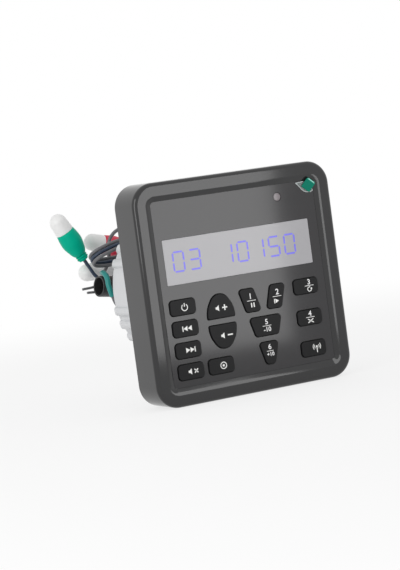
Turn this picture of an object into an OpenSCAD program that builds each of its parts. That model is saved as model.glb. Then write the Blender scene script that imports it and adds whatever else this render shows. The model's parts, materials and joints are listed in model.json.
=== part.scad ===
// Square flush-mount marine stereo: glossy bezel with a key field and display, finned round
// housing behind the dash, and short plug leads folded behind it.
// X runs to the right seen from the front, +Y to the back, +Z up.
// The origin is the centre of the plane in which the bezel meets the dash.

/* [Bezel] */
// Outside width and height of the bezel
bezel_size = 116; // [112:0.5:130]
// From the dash to the front of the bezel ring
bezel_depth = 22.8; // [21:0.1:30]
// Outside corner radius
bezel_corner_r = 12; // [11.5:0.1:16]
// Rounding of the front edge
bezel_edge_r = 2.4; // [1.5:0.1:2.6]
// From the outside to the ridge where the ring slopes in
ring_inset = 7.1; // [6:0.1:7.5]
// Width of the slope between ring and panel
slope_w = 2.7; // [2:0.1:3]
// Depth of the slope
slope_depth = 1.3; // [1:0.1:2]
// Side wall at the open back
bezel_wall = 2.6; // [2:0.1:3]
// Extra side wall that carries the housing seal
seal_step = 2; // [1.5:0.1:2.2]
// Wall behind the ring
ring_wall = 2.5; // [2:0.1:3]
// Width of the ledge behind the panel's edge
ledge_w = 1.2; // [0.8:0.1:1.4]
// Thickness of that ledge
ledge_t = 1.8; // [1.4:0.1:2]

/* [Face panel] */
// Thickness of the panel
panel_t = 2; // [1.6:0.1:2.4]
// Clearance round the panel and round the windows in it
panel_gap = 0.1; // [0.05:0.01:0.2]
// Sideways place of the display and key field
face_x = -0.9; // [-1.5:0.1:1]
// Width of the display window
window_w = 86.6; // [70:0.2:88]
// Height of the display window
window_h = 23.6; // [16:0.2:25]
// Height of the window's centre above the middle
window_z = 16.3; // [16:0.1:17]
// Corner radius of the window
window_r = 0.6; // [0.3:0.1:2]
// Diameter of the remote sensor's window
sensor_d = 4.4; // [3:0.1:5]
// Sideways place of the sensor
sensor_x = 26; // [20:0.5:32]
// Height of the sensor
sensor_z = 41.6; // [39:0.1:42]
// Length of the pull tab of the panel's film
tab_l = 6; // [5:0.1:7]
// Width of the pull tab
tab_w = 5.7; // [4:0.1:6.5]
// Thickness of the pull tab
tab_t = 0.35; // [0.2:0.05:0.5]
// Lift of the pull tab from the panel, in degrees
tab_lift = 16; // [14:1:20]

/* [Keys] */
// Width of an oblong key
key_w = 14.8; // [13:0.1:15]
// Height of an oblong key
key_h = 8.1; // [7:0.1:8.5]
// Corner radius of an oblong key
key_r = 2; // [1:0.1:2.5]
// How far a key stands out of the panel
key_proud = 1; // [0.6:0.1:1.2]
// Bevel round the top of a key
key_bevel = 0.4; // [0.2:0.05:0.5]
// Gap round a key in the panel
key_gap = 0.3; // [0.2:0.05:0.5]
// How far a key's flange reaches past it
key_flange = 0.8; // [0.6:0.05:0.9]
// Thickness of the flange
key_flange_t = 0.8; // [0.6:0.1:0.9]
// Travel of a key
key_travel = 0.8; // [0.5:0.1:0.8]
// Play between flange and panel
key_play = 0.2; // [0.1:0.05:0.3]
// Radius of the contact pill under a key
pill_r = 2.2; // [1.8:0.1:2.3]
// Height of the top key row
key_top_z = -7.2; // [-8:0.1:-7]
// Step between key rows
key_pitch = 11.1; // [10.6:0.1:11.2]
// Sideways place of the outer key columns from the key field's middle
key_column = 36.7; // [36:0.1:36.8]
// Sideways place of the select key from the key field's middle
select_x = -19; // [-19.2:0.1:-18.8]
// Width of a volume key
volume_w = 16; // [15:0.1:16.5]
// Height of a volume key
volume_h = 12.55; // [12:0.05:12.7]
// Sideways place of the volume keys from the key field's middle
volume_x = -15.2; // [-15.6:0.1:-15.1]
// Height of the middle between the volume keys
volume_z = -17.75; // [-18:0.05:-17.5]
// Half of the space between the volume keys
volume_part = 1.65; // [1.4:0.05:1.7]
// Sideways place of the wedge of preset keys from the key field's middle
wedge_x = 10.3; // [10:0.1:10.4]
// Half width of the wedge at its top
wedge_top = 14.1; // [13.5:0.1:14.2]
// Half width of the wedge at its foot
wedge_foot = 2.6; // [2.5:0.1:3]
// Height of the wedge's top
wedge_top_z = -3.4; // [-4:0.1:-3.3]
// Height of the wedge's foot
wedge_foot_z = -44.5; // [-44.6:0.1:-44]
// Width of the two slanted keys of the wedge
wedge_key_w = 9.1; // [8:0.1:9.2]
// Space between the rows of the wedge
wedge_part = 3.2; // [3:0.1:3.6]

/* [Front electronics] */
// Thickness of the keypad mat
mat_t = 2.7; // [2.6:0.1:3.2]
// Thickness of a circuit board
board_t = 1.6; // [1.2:0.1:2]
// From the bezel's outside to the front board's edge
board_inset = 7.5; // [7:0.1:7.6]
// From the bezel's outside to the front board's screws
board_screw_inset = 9.5; // [9.2:0.1:9.8]
// Side of the control chip
chip_w = 14; // [7:0.5:20]
// Thickness of the control chip
chip_t = 1.4; // [0.9:0.1:2]
// Border of the display frame round the window
lcd_border = 1.5; // [1:0.1:1.6]
// Wall of the display frame
lcd_frame_wall = 1; // [0.6:0.1:1.2]
// Thickness of the display glass
lcd_glass_t = 1.2; // [0.8:0.1:1.3]
// Width of the ribbon
ribbon_w = 20; // [12:1:26]
// Thickness of the ribbon
ribbon_t = 0.6; // [0.4:0.1:1]

/* [Housing] */
// From the bezel's outside to the housing between its fins
body_inset = 12; // [11.8:0.1:14]
// How far the collar that fills the dash cut-out stands out of the housing
collar_step = 2.8; // [2.5:0.1:3]
// Length of the collar
collar_l = 8; // [6:0.5:10]
// How far the lip at the front of the housing stands out of the collar
lip_w = 2.7; // [2:0.1:3]
// Thickness of that lip
lip_t = 1.5; // [1:0.1:1.8]
// How far the fins stand out
fin_h = 2.3; // [1.5:0.1:2.4]
// Radius of a fin's rounded back
fin_r = 2.6; // [2.5:0.1:3]
// From the dash to the rear of the housing
housing_depth = 43; // [42.9:0.1:46]
// Side wall of the housing
housing_wall = 3; // [2.5:0.1:3.4]
// Rear wall of the housing
rear_wall = 3; // [2.5:0.1:4]
// Rounding of the rear edge
rear_edge_r = 3; // [1:0.1:4]
// Angle of the first fin below the plain side
fin_low = 11; // [8:0.5:12]
// Angle of the first fin above the plain side
fin_high = 21.4; // [20:0.2:24]
// Fins round the lower half
fins_below = 17; // [9:1:18]
// Fins round the upper half
fins_above = 14; // [8:1:15]
// Thickness of the back plate behind the bezel
plate_t = 3; // [2.6:0.1:3.5]
// Thickness of the gasket against the dash
gasket_t = 1.5; // [1:0.1:2]
// Thickness of the seal between back plate and bezel
seal_t = 0.8; // [0.6:0.1:1]
// From the bezel's outside to the back plate's screws
plate_screw_inset = 8.7; // [8.6:0.05:8.8]
// From the housing's inner wall, at its side, to the threaded holes for a rear bracket
bracket_side = 9; // [8:0.5:12]
// From the housing's inner wall, at its foot, to those holes
bracket_foot = 23; // [20:0.5:26]
// Radius of those holes, tapped for M5
bracket_hole_r = 2.1; // [1.6:0.1:2.5]
// Depth of those holes
bracket_hole_l = 9; // [6:0.5:10]

/* [Rear electronics] */
// From the dash to the front of the main board
main_board_y = 12; // [10:0.5:14]
// Gap round the main board
main_board_gap = 3; // [2:0.5:5]
// From the housing's inner wall to the main board's screws
post_inset = 8; // [7:0.5:10]
// Height of the amplifier's pad over the foot of the housing
pad_h = 10; // [9:0.5:11]
// Length of the amplifier package
amp_l = 25; // [20:0.5:26]
// Height of the amplifier package off its pins
amp_h = 15; // [12:0.5:16]
// Thickness of the amplifier package
amp_t = 4.5; // [3.5:0.1:5]
// Radius of a filter capacitor
capacitor_r = 5; // [4:0.1:5.5]
// Height of a filter capacitor
capacitor_h = 16; // [10:0.5:20]
// Radius of the choke's ring
choke_r = 6; // [5:0.1:7]
// Radius of the choke's winding
choke_wire_r = 3; // [2:0.1:3.5]
// Width of the tuner can
tuner_w = 26; // [20:0.5:28]
// Height of the tuner can
tuner_h = 24; // [16:0.5:26]
// Depth of the tuner can
tuner_d = 9; // [6:0.5:12]

/* [Leads] */
// Diameter of a lead
lead_d = 2; // [1.6:0.1:2.2]
// Radius of the cable grommet's flange
grommet_r = 10; // [9.5:0.1:11]
// How far the grommet stands out of the housing
grommet_h = 3; // [2.9:0.05:3.1]
// Length of a moulded plug
plug_l = 18.8; // [18:0.1:19.5]
// Largest radius of a moulded plug
plug_r = 6; // [5.4:0.1:6.2]
// Radius of a plug at its front
plug_front_r = 5.3; // [5.2:0.1:5.4]
// Radius of a plug's metal shell
shell_r = 4.2; // [4:0.05:4.3]
// Length of the metal shell
shell_l = 5.5; // [4:0.1:5.6]
// Length of a plug cap
cap_l = 11.2; // [10.8:0.05:11.6]
// Radius of a plug cap
cap_r = 4.85; // [4.8:0.05:5]
// Length of the antenna socket
socket_l = 26; // [24:0.5:28]
// Outside radius of the antenna socket
socket_r = 5.75; // [5.6:0.05:5.8]
// Radius of its bore
socket_bore_r = 4.75; // [4.5:0.05:4.8]
// Depth of its bore
socket_bore_l = 12; // [10:0.5:13]
// Outside radius of the sleeve on the antenna lead
sleeve_r = 1.5; // [1.3:0.05:1.6]
// Radius of the tie's wire
tie_r = 0.7; // [0.5:0.05:0.8]

/* [Hidden] */
$fn = 64;
slide_gap = 0.3;
screw_gap = 0.05;
touch = 0.01;

half = bezel_size / 2;
ring_y = -bezel_depth;
panel_y0 = ring_y + slope_depth;
panel_y1 = panel_y0 + panel_t;
panel_inset = ring_inset + slope_w;
ledge_inset = panel_inset + ledge_w;
ledge_y1 = panel_y1 + ledge_t;
board_y0 = panel_y1 + mat_t;
board_y1 = board_y0 + board_t;
plate_y1 = -gasket_t;
plate_y0 = plate_y1 - plate_t;
seal_y0 = plate_y0 - seal_t;
step_inset = bezel_wall + seal_step;
core_y = ring_y + ring_wall;
core_inset = ring_inset + 0.4;

// Screws of back plate and main board
boss_r = 2.7;
pilot_r = 1.25;
screw_head_r = 2.6;
plate_hole_r = 1.6;
plate_sink = 1.6;
plate_sink_r = screw_head_r + slide_gap;
plate_head_h = 1.4;
plate_screw_l = 9;
post_hole_r = 1.5;
post_head_h = 1.6;
post_screw_l = 8;
// Small screws of front board and amplifier clamp
small_screw_r = 1;
small_head_r = 1.8;
board_head_h = 1.3;
board_grip = 2;
clamp_hole_r = 1.2;
clamp_head_h = 1.5;
clamp_grip = 5;

plate_half = half - bezel_wall - slide_gap;
plate_r = bezel_corner_r - bezel_wall - slide_gap;
plate_screw_at = half - plate_screw_inset;
board_screw_at = half - board_screw_inset;
corners = [[1, 1], [-1, 1], [-1, -1], [1, -1]];
sides = [[1, 0], [0, 1], [-1, 0], [0, -1]];

key_y0 = panel_y0 - key_proud;
key_flange_y0 = panel_y1 + key_play;
key_flange_y1 = key_flange_y0 + key_flange_t;
pad_t = 0.1;
pill_y1 = board_y0 - pad_t - key_travel - 0.2;
corner_steps = 6;

lcd_y0 = panel_y1 + key_play;
// The face is laid out for a panel of the standard size and follows the bezel
standard_panel = 48.2;
face_k = (half - panel_inset) / standard_panel;
window_at = face_k * [face_x, window_z];
sensor_at = face_k * [sensor_x, sensor_z];
lcd = face_k * [window_w, window_h] + 2 * [lcd_border, lcd_border];
mat_half = half - ledge_inset - 0.5;
mat_top = window_at.y - lcd.y / 2 - lcd_frame_wall - slide_gap;

body_r = half - body_inset;
collar_r = body_r + collar_step;
lip_r = collar_r + lip_w;
neck_r = collar_r - 1.5;
cavity_r = body_r - housing_wall;
cavity_y1 = housing_depth - rear_wall;
main_board_y1 = main_board_y + board_t;
main_board_r = cavity_r - main_board_gap;
post_at = (cavity_r - post_inset) / sqrt(2);
post_r = 3.5;
pad_z = pad_h - cavity_r;
bracket_x = cavity_r - bracket_side;
bracket_z = bracket_foot - cavity_r;
bracket_boss_r = 5;
bracket_y0 = housing_depth - bracket_hole_l;
chip_at = [-0.4, -0.28] * (half - board_inset);
capacitors_at = main_board_r * [[-0.65, 0.05], [-0.35, 0.7], [0, 0.7]];
choke_at = main_board_r * [-0.4, -0.3];
tuner_at = main_board_r * [0.45, 0];

connector = [ribbon_w + 4, 5, 5];
ribbon_y0 = board_y1 + connector.y;
ribbon_y1 = main_board_y - connector.y;
ribbon_r = (ribbon_y1 - ribbon_y0) / 4;
ribbon_z = 0.65 * main_board_r;

grommet = [-12, 0, 12];
grommet_y1 = housing_depth + grommet_h;
grommet_hole_r = 8;

// Place of each plug's tail and the way its tip points
green_tail = [-46.2, 76, 20.1];
green_way = [-0.48, 0, 0.876];
red_tail = [-9.7, 90, 20.4];
red_way = [-0.95, 0, 0.31];
white_tail = [-16.8, 84, 13.1];
white_way = [-1, 0, -0.04];
// Mouth of the antenna socket and the way it faces
socket_mouth = [-47.9, 57, 5.2];
socket_way = [-0.98, -0.13, 0.15];
socket_tail = socket_mouth - socket_l * unit(socket_way);

// The three plug leads lie side by side along one fold, a step apart
fold_step = [0, 1.8, 1.8];
fold_run = [
    [-29, 50, 25], [-36, 50, 24.6], [-44.5, 50, 22.4], [-48.2, 51.2, 20.8], [-49.8, 54, 18.8],
    [-48.4, 56.8, 16.9], [-44.5, 58, 16], [-36, 58, 15.8], [-28, 58, 15.8], [-20, 58, 16]
];
white_route = concat(
    [[-16, 46, 11], [-16.3, 49.4, 12], [-18.6, 50.6, 16.4], [-22.8, 50.4, 21.4]],
    fold_run,
    [[-13, 59.4, 15.4], [-7.4, 62.6, 14.4], [-5, 68, 13.6], [-5.2, 75, 13.2], [-6.8, 80.8, 13.1]],
    plug_approach(white_tail, white_way)
);
green_route = concat(
    [[-12, 46, 11], [-12.3, 50.4, 11.8], [-14.8, 53, 15.6], [-19.4, 53, 21], [-24, 52.4, 24.8]],
    [for (q = fold_run) q + fold_step],
    [[-14, 61.2, 17.2], [-10.2, 64.2, 15.2], [-9.4, 68.4, 11.6], [-12, 72.2, 7.6], [-18.5, 74.6, 5.4]],
    [[-27, 75.2, 4.8], [-35, 75.2, 6], [-40.4, 75.6, 9.8]],
    plug_approach(green_tail, green_way)
);
red_route = concat(
    [[-8, 46, 11], [-8.3, 51, 11.8], [-11, 54.8, 15], [-16, 55.8, 20.4], [-21.8, 55, 26]],
    [for (q = fold_run) q + 2 * fold_step],
    [[-13, 62.8, 20.4], [-6.5, 66.2, 21], [-1.6, 71.6, 21], [0.8, 78, 20.4], [1, 84, 19.4], [-1, 88.4, 18.7]],
    plug_approach(red_tail, red_way)
);
// Bend of the antenna lead that is covered by a sleeve
sleeve_run = [[-45, 56, 12.3], [-45.9, 51.6, 12], [-46, 48.5, 9.6], [-46.2, 47.2, 5.4], [-44.9, 47, -0.6]];
antenna_route = concat(
    [[-7.5, 46, 15.5], [-7.5, 51, 15.8], [-8.2, 56.4, 18.4], [-10.6, 60.6, 23], [-14.8, 63.4, 29]],
    [[-20, 64.6, 33.4], [-24.5, 65, 34.6], [-28.6, 65, 33.8], [-32.3, 65, 31.4], [-34.2, 65.2, 28.6]],
    [[-34.9, 65.6, 24.8], [-35.2, 66.2, 20.4], [-36.4, 66.6, 16.4], [-39, 65, 13.2], [-42.4, 61, 12.3]],
    sleeve_run,
    [[-42.8, 47.8, -5.4], [-38.4, 49.8, -9.4], [-31.5, 52.4, -11.8], [-23, 54.6, -12.8], [-14.5, 56.8, -12]],
    [[-7.5, 59.4, -9.4], [-4, 61.4, -4.8], [-6.4, 62.4, -0.4], [-11.4, 62, 0.2]],
    plug_approach(socket_tail, socket_way)
);
tie_middle = [-31, 59.8, 17.6];
tie_ring_r = norm(fold_step) + lead_d / 2 + tie_r;
tie_route = concat(
    [[-54, 65.2, 4.4], [-46, 66, 4.8], [-39.5, 67.4, 6]],
    [for (i = [0:11]) let (a = 30 * i - 75)
        tie_middle + [i / 5 - 1.1, tie_ring_r * cos(a), tie_ring_r * sin(a)]],
    [[-31.6, 64.4, 10.2], [-36, 66.4, 3.6], [-45, 64.8, 2], [-52, 64, 2.2]]
);
lead_sides = 8;

// Outlines in the face, as [x, z, corner radius] anticlockwise

function unit(v) = v / norm(v);
function flat(p) = [p.x, p.y];
function outward(from, to) = let (d = unit(flat(to) - flat(from))) [d.y, -d.x];

// Arc round one corner of an outline that is grown by some amount
function corner_arc(before, here, after, grow) =
    let (
        n1 = outward(before, here),
        n2 = outward(here, after),
        middle = flat(here) - here.z * (n1 + n2) / (1 + n1 * n2),
        start = atan2(n1.y, n1.x),
        turn = acos(min(1, n1 * n2)),
        r = here.z + grow
    )
    [for (i = [0:corner_steps]) middle + r * [cos(start + turn * i / corner_steps),
                                              sin(start + turn * i / corner_steps)]];

function outline(shape, grow = 0) =
    let (n = len(shape))
    [for (i = [0:n - 1]) each corner_arc(shape[(i + n - 1) % n], shape[i], shape[(i + 1) % n], grow)];

function oblong(x, z, w, h, r) =
    [for (c = [[-1, -1], [1, -1], [1, 1], [-1, 1]]) [x + c.x * w / 2, z + c.y * h / 2, r]];

// A shape of the standard face, brought to this one's size
function fitted(shape) = face_k * shape;

function oblong_key(x, z) = fitted(oblong(face_x + x, z, key_w, key_h, key_r));

// Dome of a volume key above its straight side, or its mirror image below it. The round of a shoulder
// ends at the latest where the foot's begins, and the crown's at the middle of the top.
volume_foot_r = 0.7;
shoulder_z = 0.414 * volume_h;
crown_x = 0.207 * volume_w;
shoulder_turn = atan2(volume_w / 2 - crown_x, volume_h - shoulder_z);
shoulder_r = min(0.8 * volume_w, (shoulder_z - volume_foot_r) / tan(shoulder_turn / 2));
crown_r = min(0.35 * volume_w, crown_x / tan(45 - shoulder_turn / 2));
volume_shape = [
    [-volume_w / 2, 0, volume_foot_r], [volume_w / 2, 0, volume_foot_r],
    [volume_w / 2, shoulder_z, shoulder_r], [crown_x, volume_h, crown_r],
    [-crown_x, volume_h, crown_r], [-volume_w / 2, shoulder_z, shoulder_r]
];
function volume_key(up) =
    let (n = len(volume_shape), x = face_x + volume_x, z = volume_z + up * volume_part)
    fitted([
        for (i = [0:n - 1]) let (p = volume_shape[up > 0 ? i : n - 1 - i])
            [x + p.x, z + up * p.y, p.z]
    ]);

// The wedge of preset keys narrows evenly from its top to its foot
function wedge_half(z) =
    wedge_foot + (wedge_top - wedge_foot) * (z - wedge_foot_z) / (wedge_top_z - wedge_foot_z);
wedge_share = [0.36, 0.297, 0.343];
wedge_rows = (wedge_top_z - wedge_foot_z - 2 * wedge_part) * wedge_share;
wedge_r = 1.8;
function wedge_z(row) = row == 0 ? wedge_top_z : wedge_z(row - 1) - wedge_rows[row - 1] - wedge_part;
function wedge_key(row, foot_r) =
    let (
        top = wedge_z(row),
        foot = top - wedge_rows[row],
        x = face_x + wedge_x,
        a = wedge_half(foot),
        b = wedge_half(top)
    )
    fitted([[x - a, foot, foot_r], [x + a, foot, foot_r], [x + b, top, wedge_r], [x - b, top, wedge_r]]);
function wedge_side_key(way) =
    let (
        top = wedge_z(0),
        foot = top - wedge_rows[0],
        x = face_x + wedge_x,
        a = wedge_half(foot),
        b = wedge_half(top),
        w = wedge_key_w,
        left = [[-a, foot, wedge_r], [w - a, foot, wedge_r], [w - b, top, wedge_r], [-b, top, wedge_r]]
    )
    fitted([for (i = [0:3]) let (p = left[way < 0 ? i : 3 - i]) [x - way * p.x, p.y, p.z]]);

function key_z(row) = key_top_z - row * key_pitch;
right_z = [key_z(0), key_z(1.5), key_z(3)];

power_shape = oblong_key(-key_column, key_z(0));
previous_shape = oblong_key(-key_column, key_z(1));
next_shape = oblong_key(-key_column, key_z(2));
mute_shape = oblong_key(-key_column, key_z(3));
select_shape = oblong_key(select_x, key_z(3));
preset_3_shape = oblong_key(key_column, right_z[0]);
preset_4_shape = oblong_key(key_column, right_z[1]);
band_shape = oblong_key(key_column, right_z[2]);
volume_up_shape = volume_key(1);
volume_down_shape = volume_key(-1);
preset_1_shape = wedge_side_key(-1);
preset_2_shape = wedge_side_key(1);
preset_5_shape = wedge_key(1, wedge_r);
preset_6_shape = wedge_key(2, 2);
KEYS = [
    power_shape, previous_shape, next_shape, mute_shape, select_shape, volume_up_shape,
    volume_down_shape, preset_1_shape, preset_2_shape, preset_3_shape, preset_4_shape,
    preset_5_shape, preset_6_shape, band_shape
];
function mean(points) =
    let (ones = [for (p = points) 1])
    [for (k = [0:1]) [for (p = points) p[k]] * ones / len(points)];
function key_middle(shape) = mean(outline(shape));

// Helpers

// A flat outline in X and Z, thick from one depth to another
module slab(y0, y1) {
    translate([0, y1, 0]) rotate([90, 0, 0]) linear_extrude(y1 - y0) children();
}

// A profile of radius and depth turned about the Y axis through a place in X and Z
module turned(x = 0, z = 0) {
    translate([x, 0, z]) rotate([-90, 0, 0]) rotate_extrude() children();
}

module rod(x, z, y0, y1, r) {
    translate([x, y0, z]) rotate([-90, 0, 0]) cylinder(r = r, h = y1 - y0);
}

module rounded_square(half_side, r) {
    square([2 * half_side, 2 * (half_side - r)], center = true);
    square([2 * (half_side - r), 2 * half_side], center = true);
    for (c = corners) translate((half_side - r) * c) circle(r);
}

// Turns the Z axis to point along a way
module aim(way) {
    rotate([0, acos(way.z / norm(way)), atan2(way.y, way.x)]) children();
}

module screw(x, z, y_head, head_r, head_h, shank_r, shank_l, way) {
    translate([x, y_head, z]) rotate([way * 90, 0, 0]) {
        difference() {
            cylinder(r = head_r, h = head_h);
            translate([-head_r / 2, -head_r / 8, head_h / 2]) cube([head_r, head_r / 4, head_h]);
            translate([-head_r / 8, -head_r / 2, head_h / 2]) cube([head_r / 4, head_r, head_h]);
        }
        translate([0, 0, -shank_l]) cylinder(r = shank_r, h = shank_l + touch);
    }
}

// Bezel, panel and windows

bezel_profile = concat(
    [[0, 0], [0, ring_y + bezel_edge_r]],
    [for (a = [15:15:90]) [bezel_edge_r * (1 - cos(a)), ring_y + bezel_edge_r * (1 - sin(a))]],
    [[ring_inset, ring_y], [panel_inset, panel_y0], [panel_inset, panel_y1], [ledge_inset, panel_y1]],
    [[ledge_inset, ledge_y1], [core_inset + 0.5, ledge_y1], [core_inset, core_y], [step_inset, core_y]],
    [[step_inset, seal_y0], [bezel_wall, seal_y0], [bezel_wall, 0]]
);

module bezel_ring() {
    straight = half - bezel_corner_r;
    for (k = [0:3]) rotate([0, 90 * k, 0]) {
        translate([-straight, 0, half]) rotate([0, 90, 0]) linear_extrude(2 * straight)
            polygon(bezel_profile);
        translate([straight, 0, -straight]) rotate([-90, 0, 0]) rotate_extrude(angle = 90)
            polygon([for (p = bezel_profile) [bezel_corner_r - p.x, p.y]]);
    }
}

module front_bezel() {
    color([0.1, 0.1, 0.11]) difference() {
        union() {
            bezel_ring();
            for (c = plate_screw_at * corners) rod(c.x, c.y, core_y - touch, plate_y0, boss_r);
            for (s = board_screw_at * sides) rod(s.x, s.y, ledge_y1 - touch, board_y0, small_head_r);
        }
        for (c = plate_screw_at * corners)
            rod(c.x, c.y, plate_y0 - plate_screw_l, plate_y0 + 1, pilot_r + screw_gap);
        for (s = board_screw_at * sides)
            rod(s.x, s.y, board_y0 - board_grip - slide_gap, board_y0 + 1, small_screw_r + screw_gap);
    }
}

module face_panel() {
    color([0.16, 0.16, 0.17]) slab(panel_y0, panel_y1) difference() {
        rounded_square(half - panel_inset - panel_gap, bezel_corner_r - panel_inset - panel_gap);
        polygon(outline(window_shape, panel_gap));
        translate(sensor_at) circle(sensor_d / 2 + panel_gap);
        for (k = KEYS) polygon(outline(k, key_gap));
    }
}

window_shape = fitted(oblong(face_x, window_z, window_w, window_h, window_r));

module display_window() {
    color([0.7, 0.7, 0.74]) slab(panel_y0, panel_y1) polygon(outline(window_shape));
}

module sensor_window() {
    color([0.35, 0.33, 0.34]) turned(sensor_at.x, sensor_at.y)
        polygon([[0, panel_y0], [sensor_d / 2 - 0.3, panel_y0], [sensor_d / 2, panel_y0 + 0.3],
                 [sensor_d / 2, panel_y1], [0, panel_y1]]);
}

module film_pull_tab() {
    root = [half - panel_inset - 4.9, panel_y0 - 0.1, half - panel_inset - 4.7];
    color([0, 0.49, 0.4]) translate(root) rotate([0, -50, 0]) rotate([0, 0, -tab_lift])
        translate([0, -tab_t, 0]) rotate([-90, 0, 0]) linear_extrude(tab_t) union() {
            translate([0, -tab_w / 2]) square([tab_l - 1, tab_w]);
            translate([tab_l - 2, -tab_w / 2 + 1]) square([2, tab_w - 2]);
            for (s = [-1, 1]) translate([tab_l - 1, s * (tab_w / 2 - 1)]) circle(1);
        }
}

// Keys and the front board

module key(shape) {
    color([0.12, 0.12, 0.13]) {
        hull() {
            slab(key_y0, key_y0 + touch) polygon(outline(shape, -key_bevel));
            slab(key_y0 + key_bevel, key_flange_y0 + touch) polygon(outline(shape));
        }
        slab(key_flange_y0, key_flange_y1) polygon(outline(shape, key_flange));
        rod(key_middle(shape).x, key_middle(shape).y, key_flange_y1 - touch, pill_y1, pill_r);
    }
}

module key_power() { key(power_shape); }
module key_previous() { key(previous_shape); }
module key_next() { key(next_shape); }
module key_mute() { key(mute_shape); }
module key_select() { key(select_shape); }
module key_volume_up() { key(volume_up_shape); }
module key_volume_down() { key(volume_down_shape); }
module key_preset_1() { key(preset_1_shape); }
module key_preset_2() { key(preset_2_shape); }
module key_preset_3() { key(preset_3_shape); }
module key_preset_4() { key(preset_4_shape); }
module key_preset_5() { key(preset_5_shape); }
module key_preset_6() { key(preset_6_shape); }
module key_band() { key(band_shape); }

module keypad_mat() {
    color([0.2, 0.2, 0.21]) slab(panel_y1, board_y0) difference() {
        translate([-mat_half, -mat_half]) square([2 * mat_half, mat_half + mat_top]);
        for (k = KEYS) polygon(outline(k, key_flange + key_gap));
    }
}

module front_board() {
    color([0.05, 0.3, 0.15]) slab(board_y0, board_y1) difference() {
        rounded_square(half - board_inset, 2);
        for (c = corners) translate(plate_screw_at * c) circle(boss_r + slide_gap);
        for (s = sides) translate(board_screw_at * s) circle(small_screw_r + screw_gap);
    }
}

module contact_pads() {
    color([0.8, 0.65, 0.3]) for (k = KEYS)
        rod(key_middle(k).x, key_middle(k).y, board_y0 - pad_t, board_y0, pill_r);
}

module display_glass() {
    color([0.75, 0.78, 0.8]) slab(lcd_y0, lcd_y0 + lcd_glass_t)
        translate(window_at) square(lcd - 2 * [panel_gap, panel_gap], center = true);
}

module display_backlight() {
    color([0.9, 0.9, 0.95]) slab(lcd_y0 + lcd_glass_t, board_y0)
        translate(window_at) square(lcd - 2 * [panel_gap, panel_gap], center = true);
}

module display_frame() {
    color([0.5, 0.5, 0.52]) slab(lcd_y0, board_y0) translate(window_at) difference() {
        square(lcd + 2 * [lcd_frame_wall, lcd_frame_wall], center = true);
        square(lcd, center = true);
    }
}

module remote_sensor() {
    color([0.1, 0.1, 0.1]) {
        slab(board_y0 - 1.5, board_y0) translate(sensor_at) square([5, 5.6], center = true);
        intersection() {
            translate([sensor_at.x, board_y0 - 1.5, sensor_at.y]) sphere(1.1);
            slab(panel_y1, board_y0 - 1) translate(sensor_at) square(5, center = true);
        }
    }
}

module control_chip() {
    color([0.09, 0.09, 0.1]) {
        slab(board_y1 + 0.2, board_y1 + 0.2 + chip_t) translate(chip_at) square(chip_w, center = true);
        for (k = [0:3]) translate([chip_at.x, 0, chip_at.y]) rotate([0, 90 * k, 0]) for (i = [-5:5])
            translate([i * chip_w / 13 - 0.25, board_y1, chip_w / 2 - 0.1]) cube([0.5, 0.5, 1.4]);
    }
}

module front_board_screws() {
    color([0.75, 0.75, 0.77]) for (s = sides)
        screw(s.x * board_screw_at, s.y * board_screw_at, board_y1, small_head_r, board_head_h,
              small_screw_r, board_t + board_grip, -1);
}

module ribbon_connectors() {
    color([0.92, 0.9, 0.84]) {
        translate([-connector.x / 2, board_y1, ribbon_z - connector.z / 2]) cube(connector);
        translate([-connector.x / 2, ribbon_y1, ribbon_z - connector.z / 2]) cube(connector);
    }
}

// Flat ribbon with a slack bow of four quarter turns between the connectors
module ribbon_cable() {
    color([0.6, 0.62, 0.65]) for (m = [0, 1])
        translate([0, (ribbon_y0 + ribbon_y1) / 2, ribbon_z]) mirror([0, m, 0]) ribbon_half();
}

module ribbon_half() {
    translate([0, -2 * ribbon_r, -ribbon_r]) ribbon_turn(0);
    translate([0, 0, -ribbon_r]) ribbon_turn(180);
}

module ribbon_turn(from) {
    rotate([0, 90, 0]) rotate([0, 0, 90 + from]) translate([0, 0, -ribbon_w / 2]) rotate_extrude(angle = 90)
        translate([ribbon_r - ribbon_t / 2, 0]) square([ribbon_t, ribbon_w]);
}

// Housing and what is fixed to it

module fin_circles(from, to, count) {
    step = (to - from) / (count - 1);
    for (i = [0:count - 1]) rotate(from + i * step) translate([body_r + fin_h - fin_r, 0]) circle(fin_r);
}

// Outer form behind the collar: a round body with rounded fins, all turned over at the rear edge
module finned_body() {
    intersection() {
        slab(collar_l - touch, housing_depth) union() {
            circle(body_r);
            fin_circles(fin_high, 180 - fin_high, fins_above);
            fin_circles(180 + fin_low, 360 - fin_low, fins_below);
        }
        turned() {
            tip = body_r + fin_h + 0.3;
            polygon(concat(
                [[0, 0], [tip, 0]],
                [for (a = [0:15:90])
                    [tip - rear_edge_r * (1 - cos(a)), housing_depth - rear_edge_r * (1 - sin(a))]],
                [[0, housing_depth]]
            ));
        }
    }
}

// Square plate that closes the bezel and holds the housing by its lip
module back_plate() {
    color([0.76, 0.76, 0.77]) difference() {
        slab(plate_y0, plate_y1) rounded_square(plate_half, plate_r);
        rod(0, 0, plate_y0 - 1, plate_y1 + 1, collar_r + slide_gap);
        rod(0, 0, plate_y0 - 1, plate_y0 + lip_t, lip_r + slide_gap);
        for (c = corners) {
            rod(c.x * plate_screw_at, c.y * plate_screw_at, plate_y0 - 1, plate_y1 + 1, plate_hole_r);
            rod(c.x * plate_screw_at, c.y * plate_screw_at, plate_y1 - plate_sink, plate_y1 + 1,
                plate_sink_r);
        }
    }
}

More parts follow.
